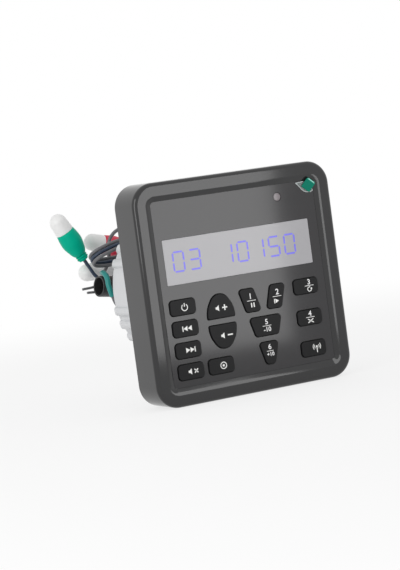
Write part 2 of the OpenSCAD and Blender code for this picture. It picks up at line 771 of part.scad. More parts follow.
module rear_housing() {
    color([0.79, 0.79, 0.8]) difference() {
        union() {
            rod(0, 0, plate_y0, plate_y0 + lip_t, lip_r);
            rod(0, 0, plate_y0 + lip_t - touch, touch, neck_r);
            rod(0, 0, 0, collar_l, collar_r);
            finned_body();
        }
        difference() {
            rod(0, 0, plate_y0 - 1, cavity_y1, cavity_r);
            for (c = corners) rod(c.x * post_at, c.y * post_at, main_board_y1, cavity_y1 + 1, post_r);
            for (s = [-1, 1])
                rod(s * bracket_x, bracket_z, bracket_y0 - 2, cavity_y1 + 1, bracket_boss_r);
            translate([-amp_l / 2 - clamp_end, amp_y0 - 1, -body_r])
                cube([amp_l + 2 * clamp_end, cavity_y1 - main_board_y1, body_r + pad_z]);
        }
        for (c = corners)
            rod(c.x * post_at, c.y * post_at, main_board_y1 - 1, main_board_y1 + post_screw_l + 1,
                pilot_r + screw_gap);
        for (s = [-1, 1]) {
            rod(s * bracket_x, bracket_z, bracket_y0, housing_depth + 1, bracket_hole_r);
            translate([s * clamp_screw_x, clamp_y, pad_z - clamp_grip - 1])
                cylinder(r = small_screw_r + screw_gap, h = clamp_grip + 2);
        }
        rod(grommet.x, grommet.z, cavity_y1 - 1, housing_depth + 1, grommet_hole_r);
    }
}

module housing_seal() {
    color([0.1, 0.1, 0.1]) slab(seal_y0, plate_y0) difference() {
        rounded_square(plate_half, plate_r);
        rounded_square(half - step_inset, bezel_corner_r - step_inset);
    }
}

module housing_screws() {
    color([0.8, 0.8, 0.82]) for (c = corners)
        screw(c.x * plate_screw_at, c.y * plate_screw_at, plate_y1 - plate_sink, screw_head_r, plate_head_h,
              pilot_r, plate_screw_l, -1);
}

module dash_gasket() {
    color([0.07, 0.07, 0.07]) slab(plate_y1, 0) difference() {
        rounded_square(plate_half, plate_r);
        circle(collar_r + slide_gap);
        for (c = corners) translate(plate_screw_at * c) circle(plate_sink_r + slide_gap);
    }
}

module main_board() {
    color([0.05, 0.3, 0.15]) slab(main_board_y, main_board_y1) difference() {
        circle(main_board_r);
        for (c = corners) translate(post_at * c) circle(post_hole_r);
    }
}

module main_board_screws() {
    color([0.75, 0.75, 0.77]) for (c = corners)
        screw(c.x * post_at, c.y * post_at, main_board_y, screw_head_r, post_head_h,
              pilot_r, post_screw_l, 1);
}

amp_pin_l = 5;
amp_y0 = main_board_y1 + amp_pin_l;
clamp_y = amp_y0 + amp_h / 2;
clamp_t = 1.5;
clamp_end = 4;
clamp_margin = 3;
clamp_screw_x = amp_l / 2 + 2.2;

module amplifier_chip() {
    color([0.08, 0.08, 0.09]) {
        translate([-amp_l / 2, amp_y0, pad_z]) cube([amp_l, amp_h, amp_t]);
        for (i = [0:11])
            translate([(i - 5.5) * 1.9 - 0.35, main_board_y1, pad_z + 2]) cube([0.7, amp_pin_l + touch, 0.6]);
    }
}

module amplifier_clamp() {
    color([0.7, 0.7, 0.72]) difference() {
        translate([-amp_l / 2 - clamp_end, amp_y0 + clamp_margin, pad_z + amp_t])
            cube([amp_l + 2 * clamp_end, amp_h - 2 * clamp_margin, clamp_t]);
        for (s = [-1, 1])
            translate([s * clamp_screw_x, clamp_y, pad_z]) cylinder(r = clamp_hole_r, h = 2 * amp_t);
    }
}

module clamp_screws() {
    color([0.75, 0.75, 0.77]) for (s = [-1, 1])
        translate([s * clamp_screw_x, clamp_y, pad_z + amp_t + clamp_t]) {
            cylinder(r = small_head_r, h = clamp_head_h);
            translate([0, 0, -amp_t - clamp_t - clamp_grip])
                cylinder(r = small_screw_r, h = amp_t + clamp_t + clamp_grip + touch);
        }
}

module filter_capacitors() {
    color([0.1, 0.13, 0.3]) for (q = capacitors_at) turned(q.x, q.y) translate([0, main_board_y1]) polygon([
        [0, 0], [capacitor_r, 0], [capacitor_r, 1.5], [capacitor_r - 0.4, 2], [capacitor_r, 2.5],
        [capacitor_r, capacitor_h - 0.5], [capacitor_r - 0.5, capacitor_h], [0, capacitor_h]
    ]);
}

module choke_coil() {
    color([0.7, 0.4, 0.2]) turned(choke_at.x, choke_at.y)
        translate([choke_r, main_board_y1 + choke_wire_r]) circle(choke_wire_r);
}

module tuner_module() {
    color([0.75, 0.76, 0.77]) difference() {
        translate([tuner_at.x - tuner_w / 2, main_board_y1, tuner_at.y - tuner_h / 2])
            cube([tuner_w, tuner_d, tuner_h]);
        for (i = [-1.5:1.5])
            translate([tuner_at.x + i * tuner_w / 5, main_board_y1 + tuner_d - 1, tuner_at.y - tuner_h / 3])
                cube([1.5, 2, tuner_h * 2 / 3]);
    }
}

// Leads, plugs and socket

module cable_grommet() {
    color([0.08, 0.08, 0.08]) turned(grommet.x, grommet.z) polygon([
        [0, cavity_y1 - 2], [grommet_r - 1, cavity_y1 - 2], [grommet_r - 0.5, cavity_y1],
        [grommet_hole_r - 0.1, cavity_y1], [grommet_hole_r - 0.1, housing_depth],
        [grommet_r, housing_depth], [grommet_r, housing_depth + 1], [grommet_r - 2, grommet_y1],
        [0, grommet_y1]
    ]);
}

// Two last points of a lead, straight into the tail of what it ends in
function plug_approach(tail, way) = [tail - 6 * unit(way), tail];

function tangent(route, i) =
    let (last = len(route) - 1)
    i == 0 ? unit(route[1] - route[0])
    : i == last ? unit(route[last] - route[last - 1])
    : unit(unit(route[i + 1] - route[i]) + unit(route[i] - route[i - 1]));
function square_to(v, way) = unit(v - (v * way) * way);

// Ring directions carried along a route without twist
function carried(route) = [
    for (i = 0, n = square_to([0, 0, 1], tangent(route, 0)); i < len(route);
         i = i + 1, n = i < len(route) ? square_to(n, tangent(route, i)) : n) n
];

function rings(route, r) =
    let (normals = carried(route))
    [
        for (i = [0:len(route) - 1]) let (n = normals[i], b = cross(tangent(route, i), n))
            for (k = [0:lead_sides - 1]) let (a = 360 * k / lead_sides)
                route[i] + r * (n * cos(a) + b * sin(a))
    ];
function at(i, k) = i * lead_sides + k % lead_sides;

module tube(route, r) {
    last = len(route) - 1;
    skin = [
        for (i = [0:last - 1]) for (k = [0:lead_sides - 1])
            each [[at(i, k), at(i + 1, k), at(i + 1, k + 1)], [at(i, k), at(i + 1, k + 1), at(i, k + 1)]]
    ];
    near_end = [[for (k = [0:lead_sides - 1]) at(0, k)]];
    far_end = [[for (k = [lead_sides - 1:-1:0]) at(last, k)]];
    polyhedron(rings(route, r), concat(near_end, skin, far_end));
}

// A tube with a bore through it
module pipe(route, r, bore) {
    last = len(route) - 1;
    base = (last + 1) * lead_sides;
    outside = [
        for (i = [0:last - 1]) for (k = [0:lead_sides - 1])
            each [[at(i, k), at(i + 1, k), at(i + 1, k + 1)], [at(i, k), at(i + 1, k + 1), at(i, k + 1)]]
    ];
    inside = [for (f = outside) [base + f[2], base + f[1], base + f[0]]];
    near_end = [
        for (k = [0:lead_sides - 1]) each [
            [at(0, k), at(0, k + 1), base + at(0, k + 1)],
            [at(0, k), base + at(0, k + 1), base + at(0, k)]
        ]
    ];
    far_end = [
        for (k = [0:lead_sides - 1]) each [
            [at(last, k + 1), at(last, k), base + at(last, k)],
            [at(last, k + 1), base + at(last, k), base + at(last, k + 1)]
        ]
    ];
    polyhedron(concat(rings(route, r), rings(route, bore)), concat(near_end, outside, inside, far_end));
}

module lead_green() { color([0.2, 0.24, 0.3]) tube(green_route, lead_d / 2); }
module lead_red() { color([0.45, 0.45, 0.46]) tube(red_route, lead_d / 2); }
module lead_white() { color([0.45, 0.45, 0.46]) tube(white_route, lead_d / 2); }
module lead_antenna() { color([0.4, 0.4, 0.41]) tube(antenna_route, lead_d / 2); }

// Moulded plug with ribbed tail, drawn from its tail upwards
module plug(tail, way) {
    rib = 0.6;
    tail_r = 2.7;
    waist_r = plug_r - 2.4;
    translate(tail) aim(way) rotate_extrude() polygon([
        [0, 0], [tail_r, 0], [tail_r, 0.9], [tail_r + rib, 0.9], [tail_r + rib, 1.8], [tail_r, 1.8],
        [tail_r, 2.7], [tail_r + rib, 2.7], [waist_r, 4], [plug_r - 0.9, plug_l * 0.42],
        [plug_r - 0.1, plug_l * 0.55], [plug_r, plug_l * 0.66], [plug_r - 0.1, plug_l * 0.76],
        [plug_front_r, plug_l], [0, plug_l]
    ]);
}

module plug_green() { color([0.06, 0.66, 0.5]) plug(green_tail, green_way); }
module plug_red() { color([0.8, 0.1, 0.15]) plug(red_tail, red_way); }
module plug_white() { color([0.85, 0.85, 0.85]) plug(white_tail, white_way); }

// Push-on cap with a domed end over a plug's shell and pin
module cap(tail, way) {
    dome_z = plug_l + cap_l - cap_r;
    color([0.9, 0.9, 0.9]) translate(tail) aim(way) difference() {
        union() {
            translate([0, 0, plug_l]) cylinder(r1 = plug_front_r - 0.1, r2 = cap_r, h = cap_l - cap_r);
            translate([0, 0, dome_z]) sphere(cap_r);
        }
        translate([0, 0, plug_l - 2 * cap_r]) cylinder(r = 2 * cap_r, h = 2 * cap_r);
        translate([0, 0, plug_l - 1]) cylinder(r = shell_r + 0.15, h = shell_l + 1.4);
        translate([0, 0, plug_l - 1]) cylinder(r = 2, h = shell_l + 4.6);
    }
}

module cap_green() { cap(green_tail, green_way); }
module cap_red() { cap(red_tail, red_way); }
module cap_white() { cap(white_tail, white_way); }

module plug_contacts() {
    color([0.8, 0.8, 0.82])
        for (p = [[green_tail, green_way], [red_tail, red_way], [white_tail, white_way]])
            translate(p[0]) aim(p[1]) translate([0, 0, plug_l]) {
                difference() {
                    cylinder(r = shell_r, h = shell_l);
                    translate([0, 0, -1]) cylinder(r = shell_r - 0.4, h = shell_l + 2);
                }
                cylinder(r = 1.6, h = shell_l + 2);
                translate([0, 0, shell_l + 2 - touch]) cylinder(r1 = 1.6, r2 = 0.8, h = 0.8);
            }
}

contact_l = 5;

module antenna_socket() {
    floor_z = socket_l - socket_bore_l;
    color([0.09, 0.09, 0.09]) translate(socket_tail) aim(socket_way) difference() {
        rotate_extrude() polygon([
            [0, 0], [2.4, 0], [3, 1.5], [2.6, 2.2], [3.4, 3.2], [3, 4], [socket_r, 8],
            [socket_r, socket_l - 0.4], [socket_r - 0.4, socket_l], [0, socket_l]
        ]);
        translate([0, 0, floor_z]) cylinder(r = socket_bore_r, h = socket_bore_l + 1);
        translate([0, 0, floor_z - contact_l]) cylinder(r = 2.3, h = contact_l + 1);
    }
}

module antenna_contact() {
    color([0.8, 0.65, 0.3]) translate(socket_tail) aim(socket_way)
        translate([0, 0, socket_l - socket_bore_l - contact_l]) difference() {
            cylinder(r = 2.2, h = contact_l);
            translate([0, 0, 1]) cylinder(r = 1.5, h = contact_l);
        }
}

module lead_sleeve() { color([0.1, 0.55, 0.53]) pipe(sleeve_run, sleeve_r, lead_d / 2 + 0.12); }

// One wire bent round the folded leads, with both its ends turned to the side
module twist_tie() { color([0.35, 0.35, 0.36]) tube(tie_route, tie_r); }

front_bezel();
face_panel();
display_window();
sensor_window();
film_pull_tab();
keypad_mat();
key_power();
key_previous();
key_next();
key_mute();
key_select();
key_volume_up();
key_volume_down();
key_preset_1();
key_preset_2();
key_preset_3();
key_preset_4();
key_preset_5();
key_preset_6();
key_band();
front_board();
contact_pads();
display_glass();
display_backlight();
display_frame();
remote_sensor();
control_chip();
front_board_screws();
ribbon_connectors();
ribbon_cable();
back_plate();
rear_housing();
housing_seal();
housing_screws();
dash_gasket();
main_board();
main_board_screws();
amplifier_chip();
amplifier_clamp();
clamp_screws();
filter_capacitors();
choke_coil();
tuner_module();
cable_grommet();
lead_green();
lead_red();
lead_white();
lead_antenna();
plug_green();
plug_red();
plug_white();
cap_green();
cap_red();
cap_white();
plug_contacts();
antenna_socket();
antenna_contact();
lead_sleeve();
twist_tie();
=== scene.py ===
"""Looks of a square flush-mount marine stereo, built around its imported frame."""

import json
import logging
import math
from dataclasses import dataclass, field
from enum import Enum, IntEnum
from typing import Callable, Optional, Sequence, Union

import bmesh
import bpy
from mathutils import Matrix, Vector
from mathutils.geometry import interpolate_bezier


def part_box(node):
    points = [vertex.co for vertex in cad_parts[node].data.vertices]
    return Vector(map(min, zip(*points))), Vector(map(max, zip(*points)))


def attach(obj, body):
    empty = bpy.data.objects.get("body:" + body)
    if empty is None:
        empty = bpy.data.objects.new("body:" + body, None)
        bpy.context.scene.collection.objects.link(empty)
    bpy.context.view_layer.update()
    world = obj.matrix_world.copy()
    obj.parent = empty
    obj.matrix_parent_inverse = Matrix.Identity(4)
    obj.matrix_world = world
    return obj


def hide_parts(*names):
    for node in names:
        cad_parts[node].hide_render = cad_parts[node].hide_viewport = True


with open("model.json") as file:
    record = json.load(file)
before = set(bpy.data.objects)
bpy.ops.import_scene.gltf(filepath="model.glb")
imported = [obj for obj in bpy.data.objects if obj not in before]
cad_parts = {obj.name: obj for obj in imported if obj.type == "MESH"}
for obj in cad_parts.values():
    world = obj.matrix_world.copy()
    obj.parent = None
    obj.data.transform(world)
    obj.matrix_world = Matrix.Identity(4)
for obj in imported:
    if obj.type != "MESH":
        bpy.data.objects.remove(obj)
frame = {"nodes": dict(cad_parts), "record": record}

LOG = logging.getLogger("marine_stereo")
MM = 0.001
CHASSIS = "chassis"
SAME_PLACE = 1e-6
MOSTLY = 0.5
SMOOTH_ANGLE = 35.0
BUMP_STRENGTH = 0.6
TUBE_STEPS = 10
TUBE_ROUNDING = 5

Point = tuple[float, float]
Place = tuple[float, float, float]
Colour = tuple[float, float, float]
Corner = tuple[float, float, float]
Route = Sequence[Place]


def srgb(red: int, green: int, blue: int) -> Colour:
    """Turns a colour as seen, 0 to 255, into the linear values of a shader.

    Args:
        red: Red share.
        green: Green share.
        blue: Blue share.

    Returns:
        The three linear values.
    """
    def linear(share: int) -> float:
        """Gives the linear value of one share."""
        value = share / 255
        return value / 12.92 if value <= 0.04045 else ((value + 0.055) / 1.055) ** 2.4

    return linear(red), linear(green), linear(blue)


class Wire:
    """One shader socket whose operators add Math nodes."""

    def __init__(self, shader: "Shader", socket: bpy.types.NodeSocket) -> None:
        """Keeps the socket and the shader that it is in."""
        self.shader = shader
        self.socket = socket

    def _math(self, operation: str, first: "Amount", second: "Amount") -> "Wire":
        """Adds one Math node."""
        return self.shader.add("ShaderNodeMath", {"operation": operation}, {0: first, 1: second})

    def __add__(self, other: "Amount") -> "Wire":
        """Adds an amount."""
        return self._math("ADD", self, other)

    def __radd__(self, other: "Amount") -> "Wire":
        """Is added to an amount."""
        return self._math("ADD", other, self)

    def __sub__(self, other: "Amount") -> "Wire":
        """Takes an amount off."""
        return self._math("SUBTRACT", self, other)

    def __rsub__(self, other: "Amount") -> "Wire":
        """Is taken off an amount."""
        return self._math("SUBTRACT", other, self)

    def __mul__(self, other: "Amount") -> "Wire":
        """Multiplies by an amount."""
        return self._math("MULTIPLY", self, other)

    def __rmul__(self, other: "Amount") -> "Wire":
        """Multiplies an amount."""
        return self._math("MULTIPLY", other, self)

    def larger(self, other: "Amount") -> "Wire":
        """Gives the larger of this and another amount."""
        return self._math("MAXIMUM", self, other)


Amount = Union[Wire, float, int, tuple]


class Shader:
    """A material, or the studio's surroundings, in the making, with one method that adds its nodes."""

    def __init__(self, owner: Union[bpy.types.Material, bpy.types.World]) -> None:
        """Starts with the plain shader that the owner comes with.

        Args:
            owner: The material or the world.
        """
        owner.use_nodes = True
        self.owner = owner
        self.tree = owner.node_tree
        self.surface = self.tree.nodes.get("Principled BSDF") or self.tree.nodes["Background"]

    def add(self, kind: str, settings: Optional[dict] = None, inputs: Optional[dict] = None,
            output: Union[int, str] = 0) -> Wire:
        """Adds a node.

        Args:
            kind: Type name of the node.
            settings: Values of the node itself, set first.
            inputs: Values or wires of its input sockets, by number or name.
            output: Which output socket is wanted.

        Returns:
            The wanted output.
        """
        node = self.tree.nodes.new(kind)
        for name, value in (settings or {}).items():
            setattr(node, name, value)
        for name, value in (inputs or {}).items():
            self._feed(node.inputs[name], value)
        return Wire(self, node.outputs[output])

    def _feed(self, socket: bpy.types.NodeSocket, value: Amount) -> None:
        """Links a wire to a socket, or sets its value.

        Args:
            socket: The input socket.
            value: A wire, or a plain value.
        """
        if isinstance(value, Wire):
            self.tree.links.new(value.socket, socket)
        elif isinstance(value, tuple) and len(value) == 3 and socket.type == "RGBA":
            socket.default_value = (*value, 1.0)
        else:
            socket.default_value = value

    def set(self, **values: Amount) -> None:
        """Sets or links sockets of the surface shader, with _ for a space in a name."""
        for name, value in values.items():
            self._feed(self.surface.inputs[name.replace("_", " ")], value)

    def rise(self, value: Wire, start: float, end: float) -> Wire:
        """Gives a smooth rise from 0 to 1 between two values."""
        return self.add("ShaderNodeMapRange", {"interpolation_type": "SMOOTHSTEP"},
                        {"Value": value, "From Min": start, "From Max": end})

    def ray(self, kind: str) -> Wire:
        """Tells 1 for rays of a kind, such as Is Camera Ray."""
        return self.add("ShaderNodeLightPath", output=kind)

    def shown(self) -> Wire:
        """Tells 1 for rays that see the background: straight, in a mirror or through a clear piece."""
        straight = self.ray("Is Camera Ray")
        return straight.larger(self.ray("Is Glossy Ray")).larger(self.ray("Is Transmission Ray"))

    def noise(self, scale: float, detail: float, stretch: Place = (1.0, 1.0, 1.0)) -> Wire:
        """Adds noise that lies still in the piece.

        Args:
            scale: Cells per metre.
            detail: Levels of finer noise.
            stretch: Share of the scale along X, Y and Z.

        Returns:
            The noise, from 0 to 1.
        """
        place = self.add("ShaderNodeTexCoord", output="Object")
        turned = self.add("ShaderNodeMapping", None, {"Vector": place, "Scale": stretch})
        return self.add("ShaderNodeTexNoise", None, {"Vector": turned, "Scale": scale, "Detail": detail})

    def shade(self, colour: Colour, mask: Amount, amount: float) -> Wire:
        """Makes a colour lighter and darker by a mask.

        Args:
            colour: The colour in the middle.
            mask: From 0, darker, to 1, lighter.
            amount: How far it goes either way.

        Returns:
            The shaded colour.
        """
        low = tuple(share * (1 - amount) for share in colour)
        high = tuple(min(1.0, share * (1 + amount)) for share in colour)
        return self.add("ShaderNodeMix", {"data_type": "RGBA"}, {0: mask, 6: low, 7: high}, 2)

    def bump(self, height: Amount, depth: float) -> None:
        """Lets a height of some depth in metres bend the surface."""
        inputs = {"Height": height, "Distance": depth, "Strength": BUMP_STRENGTH}
        self.set(Normal=self.add("ShaderNodeBump", None, inputs))


class Grain(Enum):
    """Surface of a finish: noise cells per metre, stretch along the axes, and depth in metres."""

    POLISHED = (400.0, (1.0, 1.0, 1.0), 0.000004)
    MOULDED = (2600.0, (1.0, 1.0, 1.0), 0.00001)
    SOFT = (1500.0, (1.0, 1.0, 1.0), 0.000015)
    CAST = (1200.0, (1.0, 1.0, 1.0), 0.00002)
    BRUSHED = (900.0, (0.05, 1.0, 1.0), 0.000006)
    WOVEN = (3000.0, (1.0, 0.3, 1.0), 0.00003)


@dataclass(frozen=True)
class Finish:
    """A finish with its own colour, gloss and grain, over clouds of slightly other colour and gloss."""

    name: str
    colour: Colour
    roughness: float
    grain: Grain = Grain.MOULDED
    metallic: float = 0.0
    coat: float = 0.0
    coat_roughness: float = 0.05
    specular: float = 0.5
    mottle: float = 0.08
    alpha: float = 1.0
    glow: float = 0.0
    subsurface: float = 0.0
    milk_depth: float = 0.004
    fine_detail: float = 3.0
    cloud_scale: float = 60.0
    cloud_detail: float = 2.0
    cloud_share: float = 0.6
    smoothest: float = 0.85
    rough_span: float = 0.3

    def material(self) -> bpy.types.Material:
        """Gives the finish's material, made on the first call."""
        return bpy.data.materials.get(self.name) or self._make()

    def _make(self) -> bpy.types.Material:
        """Makes the material's nodes.

        Returns:
            The new material.
        """
        shader = Shader(bpy.data.materials.new(self.name))
        scale, stretch, depth = self.grain.value
        fine = shader.noise(scale, self.fine_detail, stretch)
        cloud = shader.noise(self.cloud_scale, self.cloud_detail)
        mask = self.cloud_share * cloud + (1 - self.cloud_share) * fine
        shader.set(
            Base_Color=shader.shade(self.colour, mask, self.mottle),
            Roughness=self.roughness * self.smoothest + self.roughness * self.rough_span * cloud,
            Metallic=self.metallic,
            Coat_Weight=self.coat,
            Coat_Roughness=self.coat_roughness,
            Specular_IOR_Level=self.specular,
            Alpha=self.alpha,
            Subsurface_Weight=self.subsurface,
            Subsurface_Radius=(self.milk_depth, self.milk_depth, self.milk_depth),
        )
        if self.glow:
            shader.set(Emission_Color=shader.shade(self.colour, cloud, self.mottle),
                       Emission_Strength=self.glow)
        shader.bump(fine, depth)
        return shader.owner


BEZEL_BLACK = Finish("satin_black_moulding", srgb(36, 36, 37), 0.1, Grain.MOULDED)
PANEL_BLACK = Finish("glossy_black_panel", srgb(38, 37, 39), 0.12, Grain.POLISHED)
DISPLAY_PALE = Finish("pale_display", srgb(158, 157, 160), 0.12, Grain.POLISHED, mottle=0.03)
DISPLAY_LIT = Finish("lit_segment", srgb(108, 104, 214), 0.2, Grain.POLISHED, glow=0.1)
SENSOR_SMOKE = Finish("smoked_lens", srgb(120, 113, 116), 0.18, Grain.POLISHED)
TAB_GREEN = Finish("green_film_tab", srgb(0, 112, 92), 0.45, Grain.POLISHED, specular=0.1)
# Pale green strip on the tab's far end: a painted highlight of its edge catching light.
TAB_PAINTED_HIGHLIGHT = Finish("painted_tab_highlight", srgb(120, 192, 176), 0.3, Grain.POLISHED)
FILM_CLEAR = Finish("clear_film", srgb(200, 212, 210), 0.1, Grain.POLISHED, alpha=0.14)
# Pale rim of the film: a painted glint of its edge catching light.
FILM_PAINTED_GLINT = Finish("painted_film_glint", srgb(196, 202, 202), 0.2, Grain.POLISHED, alpha=0.8)
KEY_BLACK = Finish("silicone_key", srgb(23, 23, 24), 0.42, Grain.SOFT, mottle=0.12, specular=0.15)
LEGEND_WHITE = Finish("printed_legend", srgb(232, 232, 230), 0.5, Grain.SOFT, mottle=0.04, specular=0.2)
HOUSING_CAST = Finish("satin_casting", srgb(217, 218, 220), 0.42, Grain.CAST, mottle=0.04)
SEAL_BLACK = Finish("seal_rubber", srgb(30, 30, 30), 0.65, Grain.SOFT)
STEEL_PLAIN = Finish("plain_steel", srgb(196, 196, 199), 0.32, Grain.BRUSHED, metallic=1.0)
SHEET_METAL = Finish("stamped_sheet", srgb(180, 181, 184), 0.38, Grain.BRUSHED, metallic=1.0)
GOLD_PLATED = Finish("gold_plating", srgb(206, 168, 88), 0.28, Grain.BRUSHED, metallic=1.0)
COPPER_WIRE = Finish("enamelled_copper", srgb(178, 104, 56), 0.35, Grain.BRUSHED, metallic=1.0)
BOARD_GREEN = Finish("board_lacquer", srgb(22, 92, 52), 0.4, Grain.WOVEN, coat=0.4)
CHIP_BLACK = Finish("chip_moulding", srgb(34, 34, 36), 0.6, Grain.CAST)
DISPLAY_GLASS = Finish("display_glass", srgb(190, 196, 200), 0.08, Grain.POLISHED, alpha=0.6)
LIGHT_GUIDE = Finish("light_guide", srgb(232, 232, 240), 0.5, Grain.SOFT)
IVORY_PLASTIC = Finish("ivory_plastic", srgb(236, 231, 216), 0.5, Grain.MOULDED)
RIBBON_GREY = Finish("ribbon_sheath", srgb(152, 156, 162), 0.55, Grain.SOFT)
CAN_BLUE = Finish("capacitor_sleeve", srgb(38, 46, 92), 0.35, Grain.MOULDED)
LEAD_GREY = Finish("grey_sheath", srgb(106, 106, 109), 0.42, Grain.SOFT, mottle=0.1)
LEAD_NAVY = Finish("navy_sheath", srgb(44, 58, 78), 0.42, Grain.SOFT, mottle=0.1)
PLUG_GREEN = Finish("green_plug", srgb(0, 180, 148), 0.4, Grain.MOULDED, specular=0.08)
PLUG_RED = Finish("red_plug", srgb(214, 60, 84), 0.4, Grain.MOULDED, specular=0.2)
PLUG_WHITE = Finish("white_plug", srgb(222, 222, 222), 0.4, Grain.MOULDED, subsurface=0.05)
CAP_MILKY = Finish("milky_cap", srgb(243, 243, 242), 0.34, Grain.MOULDED, mottle=0.03, subsurface=0.2)
SOCKET_BLACK = Finish("socket_moulding", srgb(44, 44, 45), 0.45, Grain.MOULDED)
SLEEVE_TEAL = Finish("shrunk_sleeve", srgb(24, 138, 132), 0.35, Grain.MOULDED)
TIE_GREY = Finish("coated_wire", srgb(112, 112, 114), 0.45, Grain.MOULDED)
FLOOR_PALE = Finish("pale_floor", (0.92, 0.92, 0.92), 0.9, Grain.SOFT, mottle=0.01)

SLOT_FINISHES = {
    "bezel_plastic": BEZEL_BLACK, "panel_plastic": PANEL_BLACK, "window_clear": DISPLAY_PALE,
    "sensor_clear": SENSOR_SMOKE, "film_green": TAB_GREEN, "key_rubber": KEY_BLACK,
    "board_green": BOARD_GREEN, "contact_brass": GOLD_PLATED, "contact_plated": STEEL_PLAIN,
    "display_glass": DISPLAY_GLASS, "backlight_white": LIGHT_GUIDE, "frame_metal": SHEET_METAL,
    "chip_black": CHIP_BLACK, "screw_steel": STEEL_PLAIN, "connector_ivory": IVORY_PLASTIC,
    "ribbon_grey": RIBBON_GREY, "housing_cast": HOUSING_CAST, "seal_rubber": SEAL_BLACK,
    "capacitor_blue": CAN_BLUE, "coil_brass": COPPER_WIRE, "lead_navy": LEAD_NAVY,
    "lead_grey": LEAD_GREY, "plug_green": PLUG_GREEN, "plug_red": PLUG_RED, "plug_white": PLUG_WHITE,
    "cap_white": CAP_MILKY, "socket_black": SOCKET_BLACK, "sleeve_teal": SLEEVE_TEAL,
    "tie_grey": TIE_GREY,
}


class Facing(IntEnum):
    """Which way a face of a drawing looks along Z."""

    REAR = -1
    EITHER = 0
    FRONT = 1


